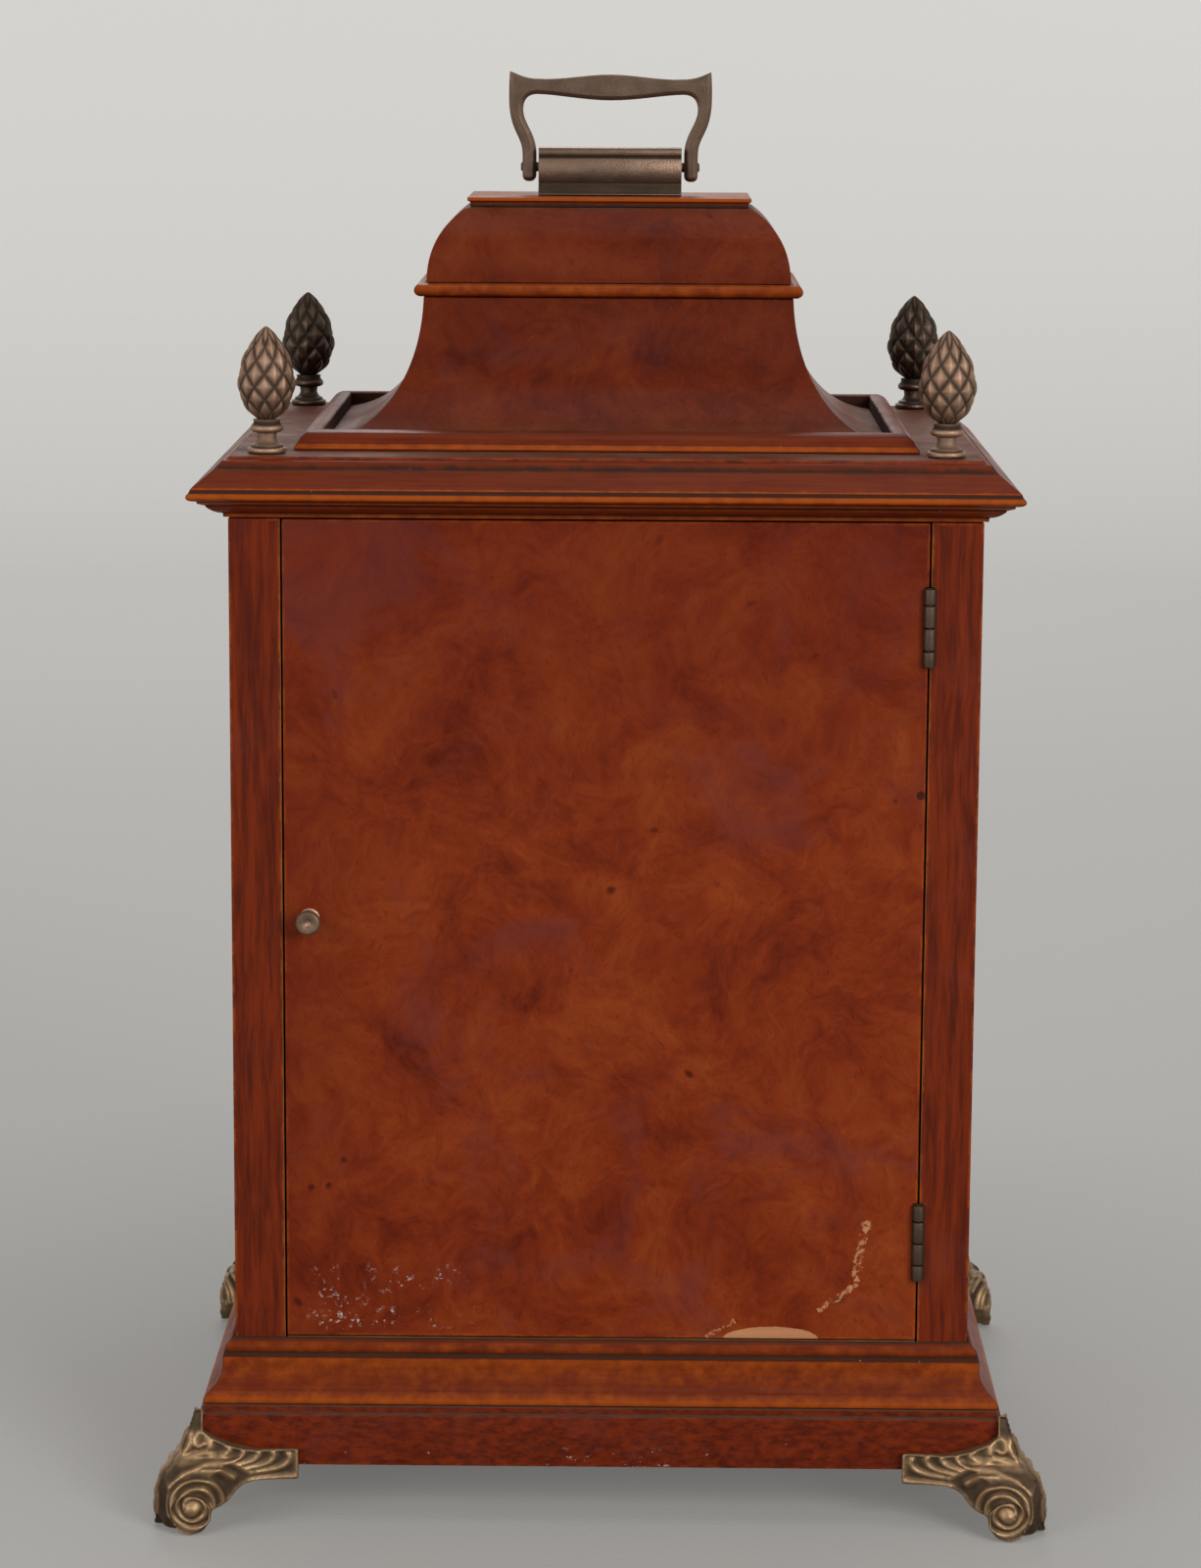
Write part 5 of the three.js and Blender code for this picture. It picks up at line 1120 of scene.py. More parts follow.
class CLOCK_OT_handle(bpy.types.Operator):
    """Saddle, bow and pivot rod of the carrying handle."""

    bl_idname = "clock.handle"
    bl_label = "Handle"

    ROD_PLAY = 0.3
    LEG_GAP, LEG_WIDTH = 0.9, 4.6
    FIELD_RISE = 0.9

    def execute(self, context):
        finish = cast_metal("handle_bronze", context.scene.clock_colours.bronze_old,
                            context.scene.clock_colours.bronze_dark, 0.38)
        self.low, self.high = limits("handle")
        rod_low, rod_high = limits("handle_pivot_rod")
        self.pivot = (rod_low.z + rod_high.z) / 2
        self.rod = (rod_high.z - rod_low.z) / 2
        piece("handle_saddle", self.saddle(), finish, 30, 0.2)
        piece("handle", self.bow(context.scene.clock_sizes.handle_bevel / MM), finish, 25, 0.15)
        piece("handle_pivot_rod", self.pin(rod_high.x), finish, 30)
        return {"FINISHED"}

    def along_x(self, radius, reach):
        """Round bar through the pivot."""
        pairs = [(0, -reach), (radius, -reach), (radius, reach), (0, reach)]
        return spun(pairs, 32, (0, 0, self.pivot), (1, 0, 0))

    def pin(self, reach):
        """The pivot rod, its ends bevelled."""
        end = reach - 0.5
        pairs = [(0, -reach), (0.7 * self.rod, -reach), (self.rod, -end), (self.rod, end),
                 (0.7 * self.rod, reach), (0, reach)]
        return spun(pairs, 32, (0, 0, self.pivot), (1, 0, 0))

    def saddle(self):
        """Spread foot, dark hollow, swelling band and a narrow roll along the top. The hollow and the
        neck under the roll take low values: painted shade in the patina's colour.
        """
        low, high = limits("handle_saddle")
        z, h = low.z, high.z - low.z
        half = curve((0, z, -0.6), [
            (high.y, z, -0.4), (high.y, z + 0.4, 0.5),
            (7.2, z + 0.06 * h, 6.0, z + 0.14 * h, 5.7, z + 0.24 * h, -0.9),
            (6.0, z + 0.27 * h, -0.2),
            (8.0, z + 0.5 * h, 6.2, z + 0.76 * h, 0.7),
            (5.4, z + 0.79 * h, -0.9), (5.5, z + 0.81 * h, -0.3),
            (6.4, z + 0.83 * h, 6.3, z + 0.98 * h, 4.9, z + 0.99 * h, 0.5),
            (2.0, z + h, 0, z + h, 0.3)], 12)
        block = turned_to(slab(half, -high.x, high.x, mirrored=True), 90)
        return bored(block, self.along_x(self.rod + self.ROD_PLAY, 2 * high.x))

    def bow(self, bevel):
        """Shallow bow with pointed horns, drawn in to two legs; a bevel runs round its field."""
        top, horn = self.high.z, self.high.x
        leg_in = limits("handle_saddle")[1].x + self.LEG_GAP
        leg_out = leg_in + self.LEG_WIDTH

        def to(*numbers):
            """A move of curve() from pairs of a place in x and a distance below the top."""
            pairs = [(numbers[i], top - numbers[i + 1]) for i in range(0, len(numbers), 2)]
            return (*[value for pair in pairs for value in pair], 0.0)

        foot = top - self.low.z
        outline = curve(to(0, 1.0), [
            to(8, 1.0, 17, 3.0, 24.4, 2.5), to(27.2, 2.4, 28.6, 2.1, 30.6, 1.4), to(horn - 0.3, 0.0),
            to(horn - 0.1, 3.4), to(horn, 5, horn, 6.5, horn, 8.5),
            to(horn, 13.5, 33.5, 17.0, 31.6, 20.8), to(30.2, 23.6, leg_out, 25, leg_out, 28.5),
            to(leg_out, foot - 2.2), to(leg_out, foot, leg_out - 2.3, foot),
            to(leg_in, foot, leg_in, foot - 2.2), to(leg_in, 27.5),
            to(leg_in + 0.1, 24.2, 26.0, 21.8, 27.3, 19.3), to(28.7, 16.6, 29.6, 14.6, 29.5, 12.4),
            to(29.4, 9.3, 27.6, 7.6, 24.6, 7.6), to(18, 7.7, 9, 9.6, 0, 9.6)], 8)
        half, rise = self.high.y, self.FIELD_RISE
        bm = slab(outline, -half + rise, half - rise, mirrored=True)
        bmesh.ops.inset_individual(bm, faces=flat_faces(bm), thickness=bevel, depth=rise,
                                   use_even_offset=True)
        wear_by(bm, lambda co: -0.05 if abs(co.y) > half - 0.05 else 0.35)
        return bored(bm, self.along_x(self.rod + self.ROD_PLAY, 2 * horn))


class CLOCK_OT_finials(bpy.types.Operator):
    """Four pine-cone finials on turned pedestals."""

    bl_idname = "clock.finials"
    bl_label = "Finials"

    SCALES_ROUND = 8
    DIAMONDS_HIGH = 3.7

    def execute(self, context):
        colours = context.scene.clock_colours
        worn = cast_metal("finial_bronze", colours.bronze, colours.bronze_dark, 0.5)
        # The far pair take the old bronze darkened by half: painted shade.
        dark = cast_metal("finial_painted_shade_bronze", shaded(colours.bronze_old, 0.5),
                          shaded(colours.bronze_dark, 0.5), 0.36)
        rise = context.scene.clock_sizes.finial_scale / MM
        for node, finish, soft in (("finial_back_left", worn, 1.1), ("finial_back_right", worn, 1.1),
                                   ("finial_front_left", dark, 1.35),
                                   ("finial_front_right", dark, 1.35)):
            low, high = limits(node)
            bm = merge(self.pedestal(), self.cone(high.z - low.z, rise * soft))
            centre = (*middle_of(node).xy, low.z)
            bmesh.ops.translate(bm, vec=centre, verts=bm.verts)
            piece(node, bm, finish, 50)
        return {"FINISHED"}

    def pedestal(self):
        """Turned foot, with its wear read from the section at each height."""
        section = curve((0, 0, 0), [
            (6.0, 0, 0), (6.2, 0.2, 0.9), (6.2, 1.3, 0.9), (6.0, 1.5, 0.6), (5.2, 1.7, -0.6),
            (4.9, 2.5, 0.2), (3.4, 3.0, 3.0, 4.6, 0), (3.2, 6.2, 0.1), (4.6, 6.6, 0.2),
            (5.5, 7.1, 5.3, 8.2, 0.7), (4.6, 9.0, -0.6), (4.2, 9.6, -0.8), (4.4, 10.6, -0.8),
            (0, 10.6, 0)], 6)
        bm = spun([(radius, z) for radius, z, _ in section], 48)
        levels = [z for _, z, _ in section]
        wear = [worn for _, _, worn in section]
        return wear_by(bm, lambda co: float(np.interp(co.z, levels, wear)))

    def cone(self, height, rise):
        """Scales in two families of helices, each scale a pointed diamond with a keel."""
        foot, radius, rows = 9.8, 8.8, 110
        pairs = [(0, foot)]
        for row in range(1, rows):
            t = row / rows
            pairs.append((radius * math.sin(math.pi * t ** 0.78) ** 0.72, foot + (height - foot) * t))
        pairs.append((0, height))
        bm = spun(pairs, 120)
        layer = bm.verts.layers.float.new("wear")
        for vert in bm.verts:
            t = (vert.co.z - foot) / (height - foot)
            out = math.hypot(vert.co.x, vert.co.y)
            if out < 0.05:
                continue
            around = math.atan2(vert.co.y, vert.co.x) / (2 * math.pi) * self.SCALES_ROUND
            up = self.DIAMONDS_HIGH * t ** 0.92
            a, b = (around + up) % 1, (around - up) % 1
            edge = 2 * max(abs(a - 0.5), abs(b - 0.5))
            lift = (a + 1 - b) / 2
            keel = math.exp(-((a + b - 1) / 0.2) ** 2)
            swell = (1 - edge ** 3) * (0.4 + 0.6 * lift) + 0.35 * keel * (1 - edge)
            calm = min(1, 6 * (1 - t)) * min(1, 8 * t)
            grow = 1 + (swell * rise - 0.45 * rise) * calm * min(1, out / 3) / out
            vert.co.x *= grow
            vert.co.y *= grow
            vert[layer] = 1.3 * swell - 0.65
        return bm


class CLOCK_OT_feet(bpy.types.Operator):
    """Four cast scroll feet. The one at the +x +y corner is drawn, and the others mirror it."""

    bl_idname = "clock.feet"
    bl_label = "Feet"

    VOXEL = 0.55
    VOLUTE = (1.3, 8.7)
    VOLUTE_OUTER = 10.2
    EYE = 2.9
    TURN_SPACING = 2.45
    SWEEP = 0.14
    RIDGE = 1.05

    def execute(self, context):
        colours = context.scene.clock_colours
        finish = cast_metal("foot_bronze", colours.foot_bronze, colours.bronze_dark, 0.4)
        self.corner = limits("plinth")[1].xy
        self.relief = context.scene.clock_sizes.foot_relief / MM
        source = baked("foot_cast", cad_copy("foot_back_left"), "REMESH", mode="VOXEL",
                       voxel_size=self.VOXEL)
        for _ in range(4):
            self.soften(source, 0.5)
        source.normal_update()
        self.carve(source)
        self.soften(source, 0.35)
        for node, flip in (("foot_back_left", (1, 1, 1)), ("foot_back_right", (-1, 1, 1)),
                           ("foot_front_left", (-1, -1, 1)), ("foot_front_right", (1, -1, 1))):
            bm = source.copy()
            bmesh.ops.scale(bm, vec=flip, verts=bm.verts)
            piece(node, bm, finish, 180)
        source.free()
        return {"FINISHED"}

    def soften(self, bm, factor):
        """Moves each point towards the middle of its neighbours."""
        bmesh.ops.smooth_vert(bm, verts=bm.verts, factor=factor, use_axis_x=True, use_axis_y=True,
                              use_axis_z=True)

    def ridges(self):
        """Ridges of the cast ornament seen square on, as (out from the plinth's corner, z)."""
        lines = [
            [(-17.8, 18.3), (-12.0, 22.7), (-7.7, 23.6), (-3.4, 23.1), (4.4, 20.1), (8.4, 16.0)],
            [(-12.3, 17.4), (-8.0, 21.2), (-2.4, 21.4)],
            [(-33.0, 26.6), (-22.2, 26.6), (-14.8, 27.6), (-9.7, 29.3), (-7.1, 30.8)],
            [(-32.7, 26.0), (-32.7, 17.0)],
            [(-32.9, 16.6), (-26.4, 16.3), (-20.3, 16.1), (-17.7, 15.7)],
            [(2.2, 31.7), (2.0, 29.6), (2.9, 26.9), (4.7, 24.7)],
            [(-4.2, 27.0), (-4.4, 29.8), (-2.6, 32.0), (-0.3, 32.0), (1.2, 30.4), (1.0, 28.4),
             (-0.6, 27.4), (-2.0, 28.6)],
            [(-7.3, 23.9), (-3.0, 25.4), (1.0, 24.7), (4.9, 24.2)],
        ]
        for lobe in range(5):
            root = (-7.5 - 3.0 * lobe, 24.6 - 1.5 * lobe)
            tip = (-9.8 - 5.0 * lobe, 28.0 - 0.9 * lobe)
            belly = (tip[0] - 2.4, root[1] + 0.7)
            lines.append([point[:2] for point in curve((*root, 0), [(*belly, *tip, 0)], 6)])
        return lines

    def height(self, out, z):
        """Height of the relief from 0 to 1 at points seen square on."""
        best = np.full(out.shape, 9.0)
        for line in self.ridges():
            for (x0, z0), (x1, z1) in zip(line, line[1:]):
                span = (x1 - x0) ** 2 + (z1 - z0) ** 2
                t = np.clip(((out - x0) * (x1 - x0) + (z - z0) * (z1 - z0)) / span, 0, 1)
                best = np.minimum(best, np.hypot(out - x0 - t * (x1 - x0), z - z0 - t * (z1 - z0)))
        leaf = np.exp(-(best / self.RIDGE) ** 2)
        dx, dz = out - self.VOLUTE[0], z - self.VOLUTE[1]
        radius = np.hypot(dx, dz)
        radius = np.hypot(dx + self.SWEEP * radius, dz - self.SWEEP * radius)
        turn = (np.arctan2(dz, dx) / (2 * np.pi)) % 1
        phase = (self.VOLUTE_OUTER - radius) / self.TURN_SPACING + turn
        fluted = 0.5 + 0.5 * np.cos(2 * np.pi * phase)
        inside = np.clip((self.VOLUTE_OUTER + 0.6 - radius) / 1.2, 0, 1)
        eye = np.sqrt(np.clip(1 - (radius / self.EYE) ** 2, 0, 1))
        coil = np.where(radius < self.EYE, 0.15 + 0.85 * eye, fluted)
        return leaf * (1 - inside) + coil * inside

    def carve(self, bm):
        """Raises the ridges on the two outer faces and records them as wear."""
        places = np.array([vert.co for vert in bm.verts])
        normals = np.array([vert.normal for vert in bm.verts])
        relief = np.zeros(len(places))
        strength = np.zeros(len(places))
        for axis, across in ((1, 0), (0, 1)):
            out = places[:, across] - self.corner[across]
            facing = np.clip((normals[:, axis] - 0.3) / 0.4, 0, 1)
            share = facing * (facing > strength)
            relief = np.where(facing > strength, self.height(out, places[:, 2]), relief)
            strength = np.maximum(strength, share)
        clear_of_floor = np.clip((places[:, 2] - 0.8) / 3, 0, 1)
        lift = (relief - 1) * strength * self.relief * clear_of_floor
        layer = bm.verts.layers.float.new("wear")
        for vert, amount, rise, face in zip(bm.verts, lift, relief, strength):
            vert.co += vert.normal * amount
            vert[layer] = (1.1 * rise - 0.5) * face


class CLOCK_OT_hinges(bpy.types.Operator):
    """Hinge leaves with turned knuckles, and their pins."""

    bl_idname = "clock.hinges"
    bl_label = "Hinges"

    SPLITS = (0, 0.21, 0.5, 0.79, 1)
    KNUCKLE = 2.1
    PIN = 0.9
    GAP = 0.3
    AXIS_IN, AXIS_OUT = 0.35, 1.0
    LEAF_START, LEAF_END, LEAF_DEPTH = 0.1, 1.1, 15
    WEB_END = 1.3

    def execute(self, context):
        colours = context.scene.clock_colours
        finish = cast_metal("hinge_bronze", shaded(colours.bronze_old, 0.5),
                            shaded(colours.bronze_dark, 0.5), 0.42)
        for side in ("back", "front"):
            for place in ("upper", "lower"):
                for owner in ("case", "door"):
                    node = f"{side}_hinge_{place}_{owner}_leaf"
                    piece(node, self.leaf(node, side == "front", owner == "case"), finish, 35, 0.12)
        return {"FINISHED"}

    def leaf(self, node, turned_round, on_case):
        """One leaf with its share of the knuckles; the pin is part of the case's leaf. A front hinge
        is drawn as one at the back and then turned round."""
        low, high = limits(node)
        if turned_round:
            low, high = Vector((-high.x, -high.y, low.z)), Vector((-low.x, -low.y, high.z))
        hinge_x = -(limits("case_side_right")[0].x - self.AXIS_IN)
        hinge_y = CASE_Y + self.AXIS_OUT
        side = -1 if on_case else 1
        bottom, rise = low.z, high.z - low.z
        bm = bmesh.new()
        across = (hinge_x + self.LEAF_START * side, hinge_x + self.LEAF_END * side)
        flat = hinge_y - self.KNUCKLE - self.GAP
        self.block(bm, across, (flat - self.LEAF_DEPTH, flat), (bottom, bottom + rise))
        for index in range(0 if on_case else 1, 4, 2):
            start = bottom + self.SPLITS[index] * rise + (self.GAP / 2 if index else 0)
            end = bottom + self.SPLITS[index + 1] * rise - (self.GAP / 2 if index < 3 else 0)
            bore = 0 if on_case else self.PIN + self.GAP
            merge(bm, self.knuckle(bore, start, end, (hinge_x, hinge_y, 0)))
            self.block(bm, across, (flat - 1, hinge_y - self.WEB_END), (start, end))
        if on_case:
            pin = [(0, bottom), (self.PIN, bottom), (self.PIN, bottom + rise), (0, bottom + rise)]
            merge(bm, spun(pin, 24, (hinge_x, hinge_y, 0)))
        wear_by(bm, lambda co: 0.25)
        return turned_to(bm, 180) if turned_round else bm

    def knuckle(self, inner, start, end, centre):
        """Turned barrel of a hinge, hollow when inner isn't 0."""
        outer, soft = self.KNUCKLE, 0.25
        pairs = [(inner, start), (outer - soft, start), (outer, start + soft), (outer, end - soft),
                 (outer - soft, end), (inner, end)]
        if inner:
            pairs.append(pairs[0])
        return spun(pairs, 32, centre)

    def block(self, bm, across, depth, height):
        """Box between two values of x, of y and of z."""
        size = [abs(pair[1] - pair[0]) for pair in (across, depth, height)]
        middle = [(pair[0] + pair[1]) / 2 for pair in (across, depth, height)]
        place = Matrix.Translation(middle) @ Matrix.Diagonal((*size, 1))
        bmesh.ops.create_cube(bm, size=1, matrix=place)


class CLOCK_OT_knobs(bpy.types.Operator):
    """Turned door knobs with a dimple in the face."""

    bl_idname = "clock.knobs"
    bl_label = "Knobs"

    def execute(self, context):
        colours = context.scene.clock_colours
        finish = cast_metal("knob_bronze", shaded(colours.bronze, 1.5),
                            colours.bronze_dark, 0.34)
        section = curve((0, 0, -0.5), [
            (3.4, 0, 0), (3.4, 0.6, 0.4), (3.1, 0.9, 0.2), (2.0, 1.3, 1.7, 2.4, -0.7),
            (1.6, 4.2, -0.6), (2.0, 5.0, 3.2, 5.2, 0.1), (4.0, 5.5, 4.0, 6.4, 0.6),
            (4.0, 7.6, 0.7), (4.0, 8.6, 3.2, 8.9, 0.9), (1.6, 9.0, 0.8, 8.1, 0.2),
            (0.5, 7.9, 0, 7.9, -0.4)], 8)
        dimple = 1.2
        for node, side in (("back_door_knob", 1), ("front_door_knob", -1)):
            low, high = limits(node)
            centre = middle_of(node)
            centre.y = low.y if side > 0 else high.y
            bm = spun([(radius, along) for radius, along, _ in section], 64)
            stops = [along for _, along, _ in section[:-1]]
            wear = [worn for _, _, worn in section[:-1]]
            wear_by(bm, lambda co: -0.1 if math.hypot(co.x, co.y) <= dimple
                    else float(np.interp(co.z, stops, wear)))
            tilt = Matrix.Rotation(math.radians(-90 * side), 4, "X")
            bmesh.ops.transform(bm, matrix=Matrix.Translation(centre) @ tilt, verts=bm.verts)
            piece(node, bm, finish, 40)
        return {"FINISHED"}


class CLOCK_OT_dial(bpy.types.Operator):
    """Arched dial plate with cast scrolls, silvered chapter ring with its marks, and the boss."""

    bl_idname = "clock.dial"
    bl_label = "Dial"

    SPREAD = 1.12
    BOLD = 1.3
    CORNER_REACH = 82.0
    RING_WIDTH = 20
    NUMERALS = ("XII", "I", "II", "III", "IIII", "V", "VI", "VII", "VIII", "IX", "X", "XI")

    def execute(self, context):
        colours = context.scene.clock_colours
        low, high = limits("chapter_ring")
        self.centre = middle_of("chapter_ring")
        self.outer = (high.x - low.x) / 2
        self.face = low.y
        self.inner = self.outer - self.RING_WIDTH
        matted = worked_metal("matted_brass", colours.brass_old, 0.36, 0.35)
        silvered = worked_metal("silvered", colours.silver, 0.42, 0.35)
        self.wax = black_wax("black_wax")
        stroke = context.scene.clock_sizes.numeral_width / MM
        dressed_copy("dial_plate", matted, edge=0.3)
        piece("chapter_ring", self.ring(), silvered, 30)
        trim("chapter_marks", self.marks(stroke), self.wax, "chapter_ring")
        cast = cast_metal("gilt_scrolls", colours.brass, colours.bronze_dark, 0.3)
        trim("dial_scrolls", self.scrolls(), cast, "dial_plate", 60)
        self.boss(silvered)
        return {"FINISHED"}

    def ring(self):
        """Ring with a turned groove inside each edge."""
        low, high = limits("chapter_ring")
        back = high.y - low.y
        inner, outer = self.inner, self.outer
        pairs = [(inner, 0), (outer, 0), (outer, back - 0.2), (outer - 0.2, back),
                 (outer - 1.2, back), (outer - 1.35, back - 0.15), (outer - 1.5, back),
                 (outer - 5.4, back), (outer - 5.5, back - 0.12), (outer - 5.6, back),
                 (inner + 1.5, back), (inner + 1.35, back - 0.15), (inner + 1.2, back),
                 (inner + 0.2, back), (inner, back - 0.2), (inner, 0)]
        return spun(pairs, 180, (self.centre.x, high.y, self.centre.z), (0, -1, 0))

    def on_ring(self, radius, across, hour):
        """Point on the ring: radius out and a distance across from an hour's line, clockwise."""
        angle = math.radians(30 * hour)
        return (self.centre.x + radius * math.sin(angle) + across * math.cos(angle),
                self.centre.z + radius * math.cos(angle) - across * math.sin(angle))

    def mark(self, bm, start, end, width):
        """Bar let into the ring between two points, each given as on_ring() takes it."""
        bar(bm, self.on_ring(*start), self.on_ring(*end), width, self.face + 0.1, self.face - 0.04)

    def marks(self, stroke):
        """Minute track, numbers and half-hour points, let into the ring and filled black."""
        bm = bmesh.new()
        track = (self.outer - 4.6, self.outer - 2.2)
        middle = (self.inner + track[0]) / 2
        for minute in range(60):
            width = 0.8 if minute % 5 == 0 else 0.35
            self.mark(bm, (track[0], 0, minute / 5), (track[1], 0, minute / 5), width)
        for radius in track:
            for step in range(120):
                self.mark(bm, (radius, 0, step / 10 - 0.005), (radius, 0, step / 10 + 0.105), 0.25)
        for hour, numeral in enumerate(self.NUMERALS):
            self.numeral(bm, hour, numeral, stroke)
            for turn in (-1, 1):
                corner = (middle, 0.9 * turn, hour + 0.5)
                self.mark(bm, (middle - 1.6, 0, hour + 0.5), corner, 0.5)
                self.mark(bm, corner, (middle + 1.6, 0, hour + 0.5), 0.5)
        return bm

    def numeral(self, bm, hour, numeral, stroke):
        """Upright strokes, thick and thin diagonals, and thin feet across each end."""
        foot, head = self.inner + 2.6, self.outer - 6.6
        widths = {"I": 1.6 * stroke, "V": 3.1 * stroke, "X": 3.2 * stroke}
        place = -sum(widths[letter] for letter in numeral) / 2
        thin = 0.3 * stroke
        for letter in numeral:
            width = widths[letter]
            left, middle, right = place + 0.5 * stroke, place + width / 2, place + width - 0.4 * stroke
            strokes = {
                "I": [(middle, middle, stroke)],
                "V": [(left, middle, stroke), (right, middle, thin)],
                "X": [(left, right, stroke), (right, left, thin)],
            }[letter]
            for top, bottom, thickness in strokes:
                self.mark(bm, (head, top, hour), (foot, bottom, hour), thickness)
            for radius in (head, foot):
                if letter == "V" and radius == foot:
                    continue
                self.mark(bm, (radius, place + 0.06 * width, hour),
                          (radius, place + 0.94 * width, hour), 0.3)
            place += width

    def scrolls(self):
        """Symmetrical leaf scrolls in the four corners and on both sides of the boss."""
        bm = bmesh.new()
        front = limits("dial_plate")[0].y
        middle = middle_of("arch_boss").z
        reach = self.CORNER_REACH
        for side in (-1, 1):
            for level in (1, -1):
                corner = self.centre.z + level * reach
                for points, radii in self.spandrel():
                    path = [(side * (reach - self.SPREAD * x), corner - level * self.SPREAD * down)
                            for x, down in points]
                    self.stroke(bm, path, radii, front)
            for points, radii in self.arch_leaf():
                self.stroke(bm, [(side * x, middle + z) for x, z in points], radii, front)
        return bm

    def stroke(self, bm, path, radii, front):
        merge(bm, ribbon(path, [self.BOLD * radius for radius in radii], front))

    def spandrel(self):
        """Half a corner's strokes and their mirror in the diagonal, from the corner inwards."""
        half = [
            ([(3, 3), (7, 4.4), (12, 5.0), (17, 4.0), (21, 2.8)], (0.5, 1.3, 1.7, 1.2, 0.4)),
            ([(5, 5), (9, 8.2), (14, 9.6), (18, 8.0), (18.4, 5.6), (16.4, 4.8), (15.2, 6.2)],
             (0.6, 1.5, 1.6, 1.3, 1.0, 0.9, 0.9)),
            ([(21, 3), (25, 4.4), (28.4, 3.6), (28.8, 2.0), (27, 1.6)], (0.5, 1.1, 1.1, 0.8, 0.6)),
            ([(24, 4.2), (29, 6.2), (34, 4.6), (38, 2.2)], (0.4, 1.2, 1.0, 0.3)),
        ]
        strokes = []
        for points, radii in half:
            strokes.append((points, radii))
            strokes.append(([(z, x) for x, z in points], radii))
        strokes.append(([(4, 4), (8, 8), (13, 13), (17, 17), (20, 20)], (0.8, 1.8, 2.2, 1.6, 0.3)))
        return strokes

    def arch_leaf(self):
        """Strokes on the right of the boss, from its middle."""
        return [
            ([(30, -8), (33, -3), (37, 2), (42, 4), (46, 2), (46, -2), (43, -3)],
             (0.5, 1.4, 1.6, 1.4, 1.1, 0.9, 0.8)),
            ([(29, 6), (31, 12), (35, 16), (39, 16), (40, 12.6), (37.4, 11.4)],
             (0.5, 1.3, 1.4, 1.2, 0.9, 0.8)),
            ([(33, -14), (38, -11), (44, -11), (50, -14), (54, -20)], (0.5, 1.3, 1.4, 1.1, 0.3)),
        ]

    def boss(self, finish):
        """Silvered disc with a raised rim and an engraved star of rays."""
        low, high = limits("arch_boss")
        radius, thick = (high.x - low.x) / 2, high.y - low.y
        centre = middle_of("arch_boss")
        centre.y = high.y
        pairs = [(0, 0), (radius, 0), (radius, 0.5 * thick), (radius - 0.8, 0.9 * thick),
                 (0.94 * radius, thick), (0.88 * radius, thick), (0.85 * radius, 0.78 * thick),
                 (0.4 * radius, 0.74 * thick), (0.38 * radius, 0.9 * thick), (0.3 * radius, thick),
                 (0, thick)]
        piece("arch_boss", spun(pairs, 120, centre, (0, -1, 0)), finish, 30)
        bm = bmesh.new()
        face = high.y - 0.76 * thick
        rays = 32
        for ray in range(rays):
            angle = 2 * math.pi * ray / rays
            reach, width = (0.82, 0.7) if ray % 2 == 0 else (0.68, 0.4)
            ends = [(centre.x + out * math.sin(angle), centre.z + out * math.cos(angle))
                    for out in (0.43 * radius, reach * radius)]
            bar(bm, *ends, width, face + 0.1, face - 0.05)
        trim("boss_rays", bm, self.wax, "arch_boss")


class CLOCK_OT_hands(bpy.types.Operator):
    """Blued hands and the collet that holds them."""

    bl_idname = "clock.hands"
    bl_label = "Hands"

    def execute(self, context):
        colours = context.scene.clock_colours
        blued = worked_metal("blued_steel", colours.blued, 0.22, 0.15)
        dressed_copy("minute_hand", blued, 30, 0.22)
        dressed_copy("hour_hand", blued, 30, 0.22)
        dressed_copy("hand_collet", worked_metal("collet_brass", colours.brass, 0.25), 30, 0.15)
        return {"FINISHED"}


class CLOCK_OT_movement(bpy.types.Operator):
    """Plates, wheels, barrel and arbors, with their edges broken."""

    bl_idname = "clock.movement"
    bl_label = "Movement"

    BRASS = ("front_plate", "back_plate", "back_cock", "going_barrel", "centre_wheel", "third_wheel",
             "escape_wheel", "minute_wheel", "hour_wheel")
    STEEL = ("winding_arbor", "cannon_pinion", "pallet_anchor")

    def execute(self, context):
        colours = context.scene.clock_colours
        brass = worked_metal("movement_brass", colours.brass, 0.3, 0.3)
        steel = worked_metal("movement_steel", colours.steel, 0.22, 0.2)
        for node in self.BRASS:
            dressed_copy(node, brass, 30, 0.15)
        for node in self.STEEL:
            dressed_copy(node, steel, 30, 0.12)
        return {"FINISHED"}


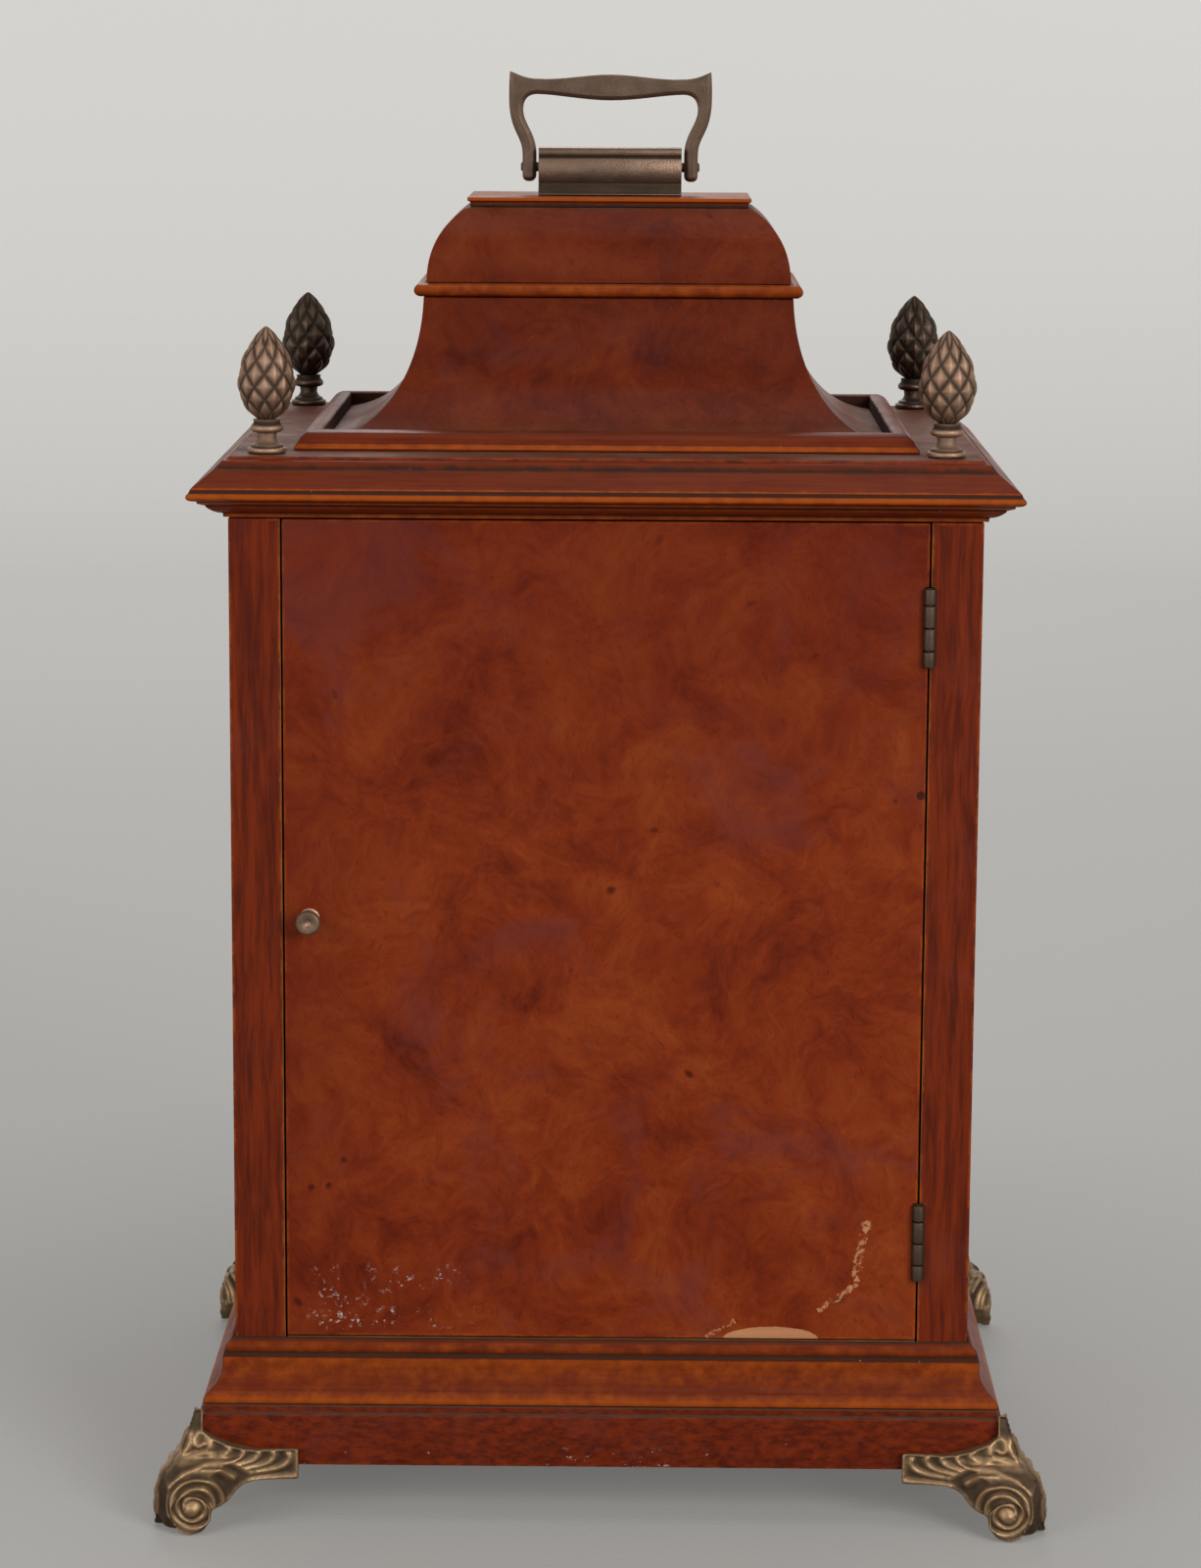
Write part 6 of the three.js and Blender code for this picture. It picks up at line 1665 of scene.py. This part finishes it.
class CLOCK_OT_pendulum(bpy.types.Operator):
    """Lens bob and its rod."""

    bl_idname = "clock.pendulum"
    bl_label = "Pendulum"

    def execute(self, context):
        colours = context.scene.clock_colours
        steel = worked_metal("pendulum_steel", colours.steel, 0.22, 0.2)
        brass = worked_metal("bob_brass", colours.brass, 0.22, 0.3)
        dressed_copy("pendulum_rod", steel, 30, 0.1)
        low, high = limits("pendulum_bob")
        radius, half = (high.z - low.z) / 2, (high.y - low.y) / 2
        centre = middle_of("pendulum_bob")
        section = curve((0, -half, 0), [
            (0.55 * radius, -0.96 * half, radius - 1.2, -0.12 * half, 0), (radius, -0.1 * half, 0),
            (radius, 0.1 * half, 0), (radius - 1.2, 0.12 * half, 0),
            (0.55 * radius, 0.96 * half, 0, half, 0)], 14)
        lens = spun([(out, along) for out, along, _ in section], 96, centre, (0, 1, 0))
        bore = spun([(0, low.z - 2), (1.8, low.z - 2), (1.8, high.z + 2), (0, high.z + 2)], 24,
                    (centre.x, centre.y, 0))
        piece("pendulum_bob", bored(lens, bore), brass, 30)
        return {"FINISHED"}


OPERATORS = (CLOCK_OT_stage, CLOCK_OT_mouldings, CLOCK_OT_caddy, CLOCK_OT_boards, CLOCK_OT_doors,
             CLOCK_OT_handle, CLOCK_OT_finials, CLOCK_OT_feet, CLOCK_OT_hinges, CLOCK_OT_knobs,
             CLOCK_OT_dial, CLOCK_OT_hands, CLOCK_OT_movement, CLOCK_OT_pendulum)


class CLOCK_PT_sidebar(bpy.types.Panel):
    """Lists the clock's settings and the operators that build it."""

    bl_label = "Bracket clock"
    bl_idname = "CLOCK_PT_sidebar"
    bl_space_type = "VIEW_3D"
    bl_region_type = "UI"
    bl_category = "Clock"

    def draw(self, context):
        for group in (context.scene.clock_sizes, context.scene.clock_colours):
            for key in group.__annotations__:
                self.layout.prop(group, key)
        for operator in OPERATORS:
            self.layout.operator(operator.bl_idname)


CLASSES = (ClockColours, ClockSizes, *OPERATORS, CLOCK_PT_sidebar)


def register():
    for each in CLASSES:
        bpy.utils.register_class(each)
    bpy.types.Scene.clock_colours = bpy.props.PointerProperty(type=ClockColours)
    bpy.types.Scene.clock_sizes = bpy.props.PointerProperty(type=ClockSizes)


def unregister():
    del bpy.types.Scene.clock_sizes
    del bpy.types.Scene.clock_colours
    for each in reversed(CLASSES):
        bpy.utils.unregister_class(each)


def main():
    """Builds the dressed clock."""
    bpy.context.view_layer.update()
    register()
    for operator in OPERATORS:
        group, name = operator.bl_idname.split(".")
        getattr(getattr(bpy.ops, group), name)()


if __name__ == "__main__":
    main()
